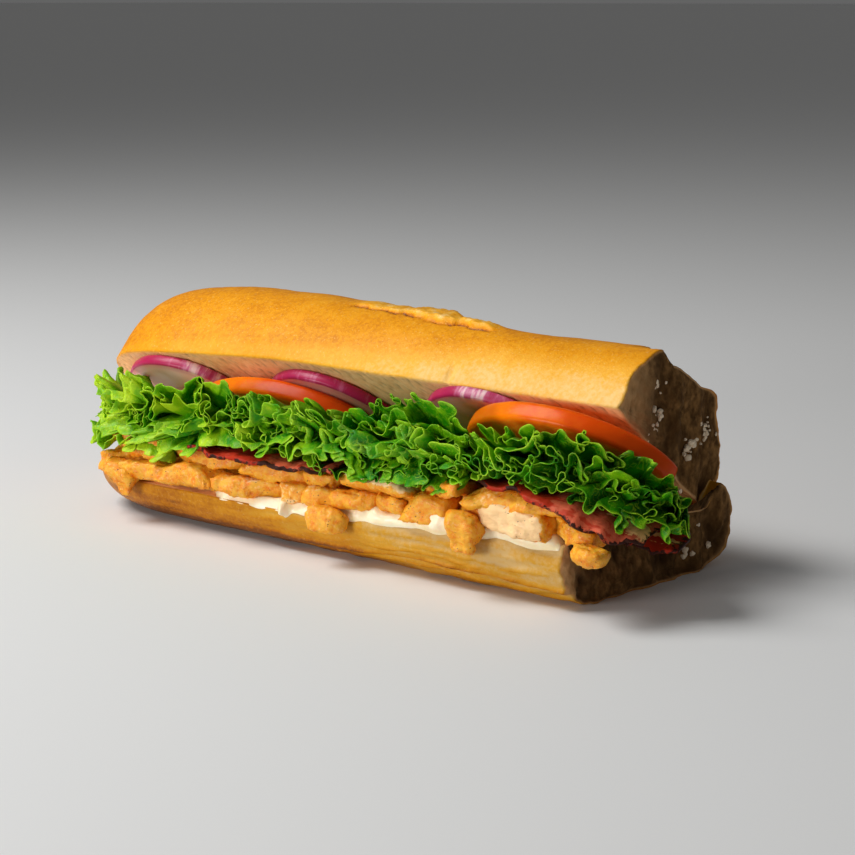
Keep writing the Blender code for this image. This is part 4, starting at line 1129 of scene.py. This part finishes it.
# Green by the mask of painted light and shade with random tone, and the broad mottling, with pale veins and
# rims
def leafMaterial():
    material, tree, shader, place, mottle = startMaterial("lettuceLeaf", leafLook)
    tone = unevenly(tree, maskOf(tree, "litTone"), mottle["Broad"], 0.3)
    colour = rampOf(tree, tone, [(0.0, leafLook["deep"]), (0.35, leafLook["green"]),
                                 (0.75, leafLook["litTone"]), (1.0, leafLook["pale"])])
    veins = noiseOf(tree, place, 4.0, 2.0, 0.5, 1.2)
    ridge = mathOf(tree, "ABSOLUTE", mathOf(tree, "SUBTRACT", veins, 0.5))
    line = rangeOf(tree, ridge, 0.0, 0.035, 1.0, 0.0)
    colour = blendOf(tree, mathOf(tree, "MULTIPLY", line, 0.35), colour, leafLook["pale"])
    colour = blendOf(tree, maskOf(tree, "rim"), colour, leafLook["rim"])
    tree.links.new(colour, shader.inputs["Base Color"])
    height = mathOf(tree, "ADD", mathOf(tree, "MULTIPLY", line, 0.6), noiseOf(tree, place, 1.6, 3.0))
    addBump(tree, shader, height, 0.45, 0.4)
    return material


# A curve through plan points at places evenly spaced by length, and its length
def evenPath(points, count=400):
    path = pathThrough(points, count)
    gone = np.concatenate([[0.0], np.cumsum(np.linalg.norm(np.diff(path, axis=0), axis=1))])
    even = np.linspace(0.0, gone[-1], count)
    return np.stack([np.interp(even, gone, path[:, k]) for k in (0, 1)], axis=-1), gone[-1]


# Points of an even path at shares of its length, by straight lines between its own
def onPath(path, shares):
    own = np.linspace(0, 1, len(path))
    return np.stack([np.interp(shares, own, path[:, k]) for k in (0, 1)], axis=-1)


# Mean over a smooth window of each row's neighbours
def movingMean(rows, wide):
    window = np.hanning(wide + 2)[1:-1]
    window /= window.sum()
    padded = np.pad(rows, ((0, 0), (wide // 2, wide - 1 - wide // 2)), mode="edge")
    return np.stack([np.convolve(row, window, mode="valid") for row in padded])


# Along each row the direction angle is the sum of three sines, of the folds, the ruffles and
# the crimping, whose swings grow towards the edge; the shift along the row and the offset are
# its running cosine and sine. The growth line from the inside out turns by the lean.
def leafGrid(leaf, drop, shorter, extra):
    seed = leaf["seed"] + extra
    edge, length = evenPath(leaf["edge"])
    t = (1.0 - (1.0 - np.linspace(0.0, 1.0, leafShape["rows"])) ** 1.5)[:, None]
    s = np.linspace(0.0, 1.0, int(length * leafShape["columnsPerMm"]))[None, :]
    place = spot(s * length, 14.0 * t, 0.0)
    line = spot(s * length, 0.0, 0.0)

    def wave(spacing, size, strength, number):
        return 2 * math.pi * s * length / spacing + strength * layeredNoise(place, size, seed + number, 2)

    def swing(angle, start, size, strength, number):
        grown = smoothStep((t - start) / (1.0 - start))
        return angle * grown * (1 + strength * layeredNoise(place, size, seed + number, 2))

    folds = np.sin(wave(leaf["period"], 17.0, 1.1, 100) + leaf["phase"] + extra)
    ruffles = np.sin(wave(leaf.get("ruffleLength", leafShape["ruffleLength"]), 10.0, 3.2, 110))
    crimps = np.sin(wave(leafShape["crimpLength"], 6.0, 2.6, 120))
    calm = leaf.get("calm", 1.0) if extra == 0 else 1.0
    crimping = calm * leaf.get("crimpShare", 1.0)
    angle = swing(leafShape["fold"], -0.2, 13.0, 0.25, 130) * folds
    angle = angle + calm * swing(leafShape["ruffle"], 0.16, 9.0, 0.5, 140) * ruffles
    angle = angle + crimping * swing(leafShape["crimp"], 0.60, 5.0, 0.6, 150) * crimps
    run = np.cumsum(np.cos(angle), axis=1)
    total = run[:, -1:] - run[:, :1]
    shift = ((run - run[:, :1]) / total - s) * length
    offset = np.cumsum(np.sin(angle), axis=1) * length / total
    offset = offset - offset[:, :1] * (1 - s) - offset[:, -1:] * s
    offset = offset - 0.85 * movingMean(offset, int(leaf["period"] * leafShape["columnsPerMm"] * 1.2))
    inner = onPath(evenPath(leaf["inner"], 100)[0], s[0])
    outer = onPath(edge, s[0])
    growth = outer - inner
    reach = np.linalg.norm(growth, axis=-1, keepdims=True)
    outer = outer + growth / reach * shorter
    reach = (reach + shorter).T
    tangent = np.gradient(outer, axis=0)
    tangent = tangent / np.linalg.norm(tangent, axis=-1, keepdims=True)
    out = t ** 0.9
    plan = inner[None] * (1 - out[..., None]) + outer[None] * out[..., None]
    lean = leaf["lean"] + leafShape["leanSpread"] * layeredNoise(line, 10.0, seed + 160, 2)
    curl = lean * smoothStep((t - 0.50) / 0.50)
    between = (curl[1:] + curl[:-1]) / 2
    rise = np.concatenate([0 * s, np.cumsum(np.sin(between) * np.diff(out, axis=0), axis=0)]) * reach
    short = np.concatenate([0 * s, np.cumsum((1 - np.cos(between)) * np.diff(out, axis=0), axis=0)]) * reach
    edgeZ = valueAlong(s, leaf["heights"]) + drop
    edgeZ = edgeZ + leafShape["unevenness"] * layeredNoise(line, 17.0, seed + 180, 2)
    z = leaf["innerHeight"] * (1 - out ** 1.1) + (edgeZ - 0.6 * rise[-1:]) * out ** 1.1 + rise
    ragged = layeredNoise(line * 4.0, 2.6, seed + 170, 3) * t ** 8
    spread = offset * (0.12 + 0.88 * t)
    outwards = (ragged - 0.5 * short + 0.25 * short[-1:] * out + spread * np.sin(curl) * 0.8)[..., None]
    along = (shift * (0.2 + 0.8 * t))[..., None]
    plan = plan + (growth / reach.T)[None] * outwards + tangent[None] * along
    z = z + spread * np.cos(curl)
    return np.concatenate([plan, z[..., None]], axis=-1), t + 0 * s


# A leaf and its doubled parts as thin solids in one piece, thinner towards the edge
def makeLettuce():
    material = leafMaterial()
    for name, leaf in leaves.items():
        allPoints, allQuads, rims, tones = [], [], [], []
        count = 0
        for drop, shorter, extra in leaf.get("copies", leafShape["copies"]):
            grid, t = leafGrid(leaf, drop, shorter, extra)
            points, quads = sheetSkin(grid, leafShape["thickness"] * (1.25 - 0.6 * t))
            allPoints.append(points)
            allQuads.append(quads + count)
            count += len(points)
            rim = 0.40 + 0.9 * layeredNoise(grid, 6.0, leaf["seed"] + 230, 2)
            rim = smoothStep((t - 0.975) / 0.025) * rim
            # Painted shade to the right and towards the leaf's inner part, painted light at the frilled edge,
            # with random tone
            litTone = valueAlong(grid[..., 0], leafShape["litTone"])
            litTone = litTone + 0.36 * layeredNoise(grid, 9.0, leaf["seed"] + 200, 3) + 0.40 * (t ** 3 - 0.72)
            rims.append(np.tile(rim.ravel(), 2))
            tones.append(np.tile(litTone.ravel(), 2))
        masks = {"rim": np.concatenate(rims), "litTone": np.concatenate(tones)}
        makePiece(name + "Leaf", np.vstack(allPoints), np.vstack(allQuads), None, material, "lettuce",
                  [name], masks)
    print("lettuce done,", len(leaves), "leaves")


slices = {   # middle is x and the distance from the hinge; white is (angle round the slice, paleness)
    "tomato_left": {"middle": (-38.0, 31.0), "half": (36.0, 19.5), "kind": "tomato"},
    "tomato_right": {"middle": (74.5, 34.0), "half": (34.0, 26.0), "kind": "tomato"},
    "onion_left": {"middle": (-83.0, 27.0), "half": (26.0, 26.0), "kind": "onion",
                   "white": [(0, 0.62), (1.1, 0.62), (1.45, 0.05), (3.15, 0.0)]},
    "onion_middle": {"middle": (-21.0, 25.0), "half": (26.0, 26.0), "kind": "onion",
                     "white": [(0, 0.1), (1.5, 0.2), (3.15, 0.3)]},
    "onion_right": {"middle": (46.0, 29.5), "half": (26.0, 26.0), "kind": "onion",
                    "white": [(0, 0.0), (0.9, 0.05), (1.25, 0.62), (1.65, 0.62), (1.95, 0.0), (3.15, 0.0)]},
}
sliceShape = {
    "tomato": {"top": 4.4, "thickness": 6.6, "rounding": 1.2},
    "onion": {"top": 0.35, "thickness": 3.8, "rounding": 0.6},
    "around": 130,
    "ringSpacing": 4.2,      # mm between an onion's rings
}

# skin is the red of the painted shade at the right end, orange the lit skin
tomatoLook = {"skin": (0.76, 0.075, 0.001), "orange": (0.92, 0.190, 0.001), "flesh": (0.98, 0.16, 0.003),
              "pale": (1.0, 0.26, 0.015), "Roughness": 0.30, "Specular IOR Level": 0.12,
              "Subsurface Weight": 0.35, "Subsurface Scale": 0.005, "Subsurface Radius": (1.0, 0.30, 0.1)}
onionLook = {"magenta": (0.42, 0.012, 0.080), "violet": (0.56, 0.12, 0.24), "white": (0.80, 0.50, 0.50),
             "face": (1.0, 0.50, 0.42), "Roughness": 0.34, "Specular IOR Level": 0.3,
             "Subsurface Weight": 0.45, "Subsurface Scale": 0.005, "Subsurface Radius": (1.0, 0.6, 0.6)}


# Orange skin, redder and darker towards the slice's right end as painted shade, and flesh on the cut faces
def tomatoMaterial():
    material, tree, shader, place, mottle = startMaterial("tomatoSlice", tomatoLook)
    rightShade = unevenly(tree, maskOf(tree, "rightShade"), mottle["Broad"], 0.15)
    skin = blendOf(tree, rangeOf(tree, rightShade, 0.2, 0.8), tomatoLook["orange"], tomatoLook["skin"])
    flesh = blendOf(tree, rangeOf(tree, noiseOf(tree, place, 3.0, 4.0), 0.35, 0.7), tomatoLook["flesh"],
                    tomatoLook["pale"])
    cut = maskOf(tree, "cut")
    tree.links.new(blendOf(tree, cut, skin, flesh), shader.inputs["Base Color"])
    addBump(tree, shader, mathOf(tree, "MULTIPLY", cut, noiseOf(tree, place, 1.2, 3.0)), 0.3, 0.3)
    return material


# Magenta to white rim with fibres round it, and a pale face with ring lines
def onionMaterial():
    material, tree, shader, place, mottle = startMaterial("redOnion", onionLook)
    lines = addNode(tree, "ShaderNodeCombineXYZ")
    tree.links.new(maskOf(tree, "round"), lines.inputs["X"])
    tree.links.new(mathOf(tree, "MULTIPLY", maskOf(tree, "deep"), 0.25), lines.inputs["Y"])
    fibre = addNode(tree, "ShaderNodeTexNoise", None, {"Scale": 0.32, "Detail": 5.0, "Roughness": 0.6})
    tree.links.new(lines.outputs["Vector"], fibre.inputs["Vector"])
    pale = unevenly(tree, maskOf(tree, "white"), fibre.outputs["Fac"], 0.36)
    rim = rampOf(tree, pale, [(0.25, onionLook["magenta"]), (0.6, onionLook["violet"]),
                              (0.85, onionLook["white"])])
    rings = rangeOf(tree, maskOf(tree, "ringLine"), 0.0, 1.0)
    face = blendOf(tree, mathOf(tree, "MULTIPLY", rings, 0.5), onionLook["face"], onionLook["violet"])
    tree.links.new(blendOf(tree, maskOf(tree, "cut"), rim, face), shader.inputs["Base Color"])
    addBump(tree, shader, fibre.outputs["Fac"], 0.25, 0.2)
    return material


# Rows of a swept profile closed to a solid: quads between the rows, the last row back to
# the first, and a fan over each flat end
def closedFan(rings):
    count, columns = rings.shape[:2]
    number = np.arange(count * columns).reshape(count, columns)
    wrap = np.stack([number[-1, :-1], number[-1, 1:], number[0, 1:], number[0, :-1]], axis=-1)
    points = np.vstack([rings.reshape(-1, 3), rings[:, 0].mean(axis=0), rings[:, -1].mean(axis=0)])
    after = np.roll(number, -1, axis=0)
    first = np.full(count, count * columns)
    fans = np.concatenate([np.stack([after[:, 0], number[:, 0], first], -1),
                           np.stack([number[:, -1], after[:, -1], first + 1], -1)])
    return points, np.concatenate([gridQuads(count, columns), wrap]), fans


# A half slice: the profile of its rim, from the middle of one face over the rounded edge to
# the middle of the other, swept through half a turn; x = middle + reach cos, along + reach sin
def makeSlice(name, piece, material):
    shape = sliceShape[piece["kind"]]
    turn = np.linspace(0.0, math.pi, sliceShape["around"])[None, :]
    faceSteps = np.linspace(0.0, 1.0, 16)[:-1]
    bend = np.linspace(0.0, math.pi / 2, 7)
    rounding = shape["rounding"] * 1.3
    innermost = 0.93 * min(piece["half"]) - rounding
    faceDepth = np.concatenate([0 * faceSteps, rounding * (1 - np.cos(bend))])
    faceInset = np.concatenate([(1 - faceSteps) * innermost + rounding, rounding * (1 - np.sin(bend))])
    belly = np.linspace(0.0, 1.0, 10)[1:-1]
    depth = np.concatenate([faceDepth, rounding + belly * (shape["thickness"] - 2 * rounding),
                            shape["thickness"] - faceDepth[::-1]])[:, None]
    inset = np.concatenate([faceInset, 0 * belly, faceInset[::-1]])[:, None]
    bulge = 0.35 * np.sin(np.clip(depth / shape["thickness"], 0, 1) * math.pi)
    halfLength, halfWidth = piece["half"]
    share = 1.0 - inset / min(halfLength, halfWidth)
    waver = 0.25 * layeredNoise(spot(turn * 20.0, 0.0, 0.0), 9.0, 81, 2)
    x = piece["middle"][0] + (halfLength * share + bulge + waver) * np.cos(turn)
    along = piece["middle"][1] + (halfWidth * share + bulge + waver) * np.sin(turn)
    rings = underTop(x, along, -shape["top"] - depth)
    rings = rings + gridNormals(rings) * (0.12 * layeredNoise(rings, 4.0, 83, 2))[..., None]
    points, quads, fans = closedFan(rings)
    ringLine = 1 - np.abs(((inset + 0.4 * waver) % sliceShape["ringSpacing"]) - 2.1) / 0.5
    masks = {"cut": smoothStep((inset - 0.4) / 0.8), "deep": depth, "round": turn * halfLength,
             # Painted shade: the skin turns redder and darker towards the right end
             "rightShade": smoothStep((x - piece["middle"][0]) / halfLength * 0.5 + 0.5),
             "white": valueAlong(turn, piece.get("white", [(0, 0.0), (3.15, 0.0)])),
             "ringLine": smoothStep(ringLine)}
    for label, values in masks.items():
        values = values + 0 * x
        masks[label] = np.concatenate([values.ravel(), [values[:, 0].mean(), values[:, -1].mean()]])
    makePiece(name + "Slice", points, quads, fans, material, piece["kind"], [name], masks)


# Each slice with its kind's material
def makeSlices():
    materials = {"tomato": tomatoMaterial(), "onion": onionMaterial()}
    for name, piece in slices.items():
        makeSlice(name, piece, materials[piece["kind"]])
    print("slices done,", len(slices), "slices")


studio = {
    "floor": (0.80, 0.80, 0.79),
    "floorReach": 60.0,      # m
    "world": (1.0, 1.0, 1.0),
    "worldStrength": 0.125,
    "keyFrom": (-0.50, -0.42, 0.90),
    "keySize": 0.55,
    "keyPower": 10.0,
    "fillFrom": (-0.30, -0.95, 0.10),
    "fillSize": 0.35,
    "fillPower": 6.6,
    "target": (0.00885, 0.01014, 0.0342),
    "azimuth": 38.0,
    "elevation": 12.0,
    "distance": 0.630,
    "lens": 85.0,
}


# Turns a lamp or the camera so that it looks along target - location
def lookAt(thing, target):
    direction = np.array(target) - np.array(thing.location)
    thing.rotation_euler = Vector(direction).to_track_quat("-Z", "Y").to_euler()


# One flat square, from -reach to reach, that only shows in the picture
def makeFloor():
    material = bpy.data.materials.new("paleFloor")
    material.use_nodes = True
    shader = material.node_tree.nodes["Principled BSDF"]
    shader.inputs["Base Color"].default_value = (*studio["floor"], 1.0)
    shader.inputs["Roughness"].default_value = 0.7
    mesh = bpy.data.meshes.new("floor")
    reach = studio["floorReach"]
    mesh.from_pydata([(-reach, -reach, 0), (reach, -reach, 0), (reach, reach, 0), (-reach, reach, 0)], [],
                     [(0, 1, 2, 3)])
    mesh.materials.append(material)
    floor = bpy.data.objects.new("floor", mesh)
    bpy.context.scene.collection.objects.link(floor)


# The camera stands at target + distance (sin a cos e, -cos a cos e, sin e)
def makeStudio():
    makeFloor()
    world = bpy.data.worlds.new("studioLight")
    world.use_nodes = True
    world.node_tree.nodes["Background"].inputs["Color"].default_value = (*studio["world"], 1.0)
    world.node_tree.nodes["Background"].inputs["Strength"].default_value = studio["worldStrength"]
    bpy.context.scene.world = world
    for label in ("key", "fill"):
        lamp = bpy.data.objects.new(label + "Light", bpy.data.lights.new(label + "Light", "AREA"))
        lamp.data.energy = studio[label + "Power"]
        lamp.data.size = studio[label + "Size"]
        lamp.location = studio[label + "From"]
        lookAt(lamp, studio["target"])
        bpy.context.scene.collection.objects.link(lamp)
    turn, rise = math.radians(studio["azimuth"]), math.radians(studio["elevation"])
    back = np.array([math.sin(turn) * math.cos(rise), -math.cos(turn) * math.cos(rise), math.sin(rise)])
    camera = bpy.data.objects.new("camera", bpy.data.cameras.new("camera"))
    camera.data.lens = studio["lens"]
    camera.data.sensor_width = 36.0
    camera.data.clip_start = 0.01
    camera.location = np.array(studio["target"]) + back * studio["distance"]
    lookAt(camera, studio["target"])
    bpy.context.scene.collection.objects.link(camera)
    bpy.context.scene.camera = camera
    bpy.context.scene.view_settings.view_transform = "Standard"
    print("studio done")


makeBread()
makeCrumbs()
makeCream()
makeChicken()
makeBacon()
makeLettuce()
makeSlices()
makeStudio()

faces = {piece.name: sum(len(p.vertices) - 2 for p in piece.data.polygons)
         for piece in bpy.context.scene.objects if piece.type == "MESH" and "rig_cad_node" not in piece}
print("triangles in all", sum(faces.values()), "most", max(faces.items(), key=lambda pair: pair[1]))
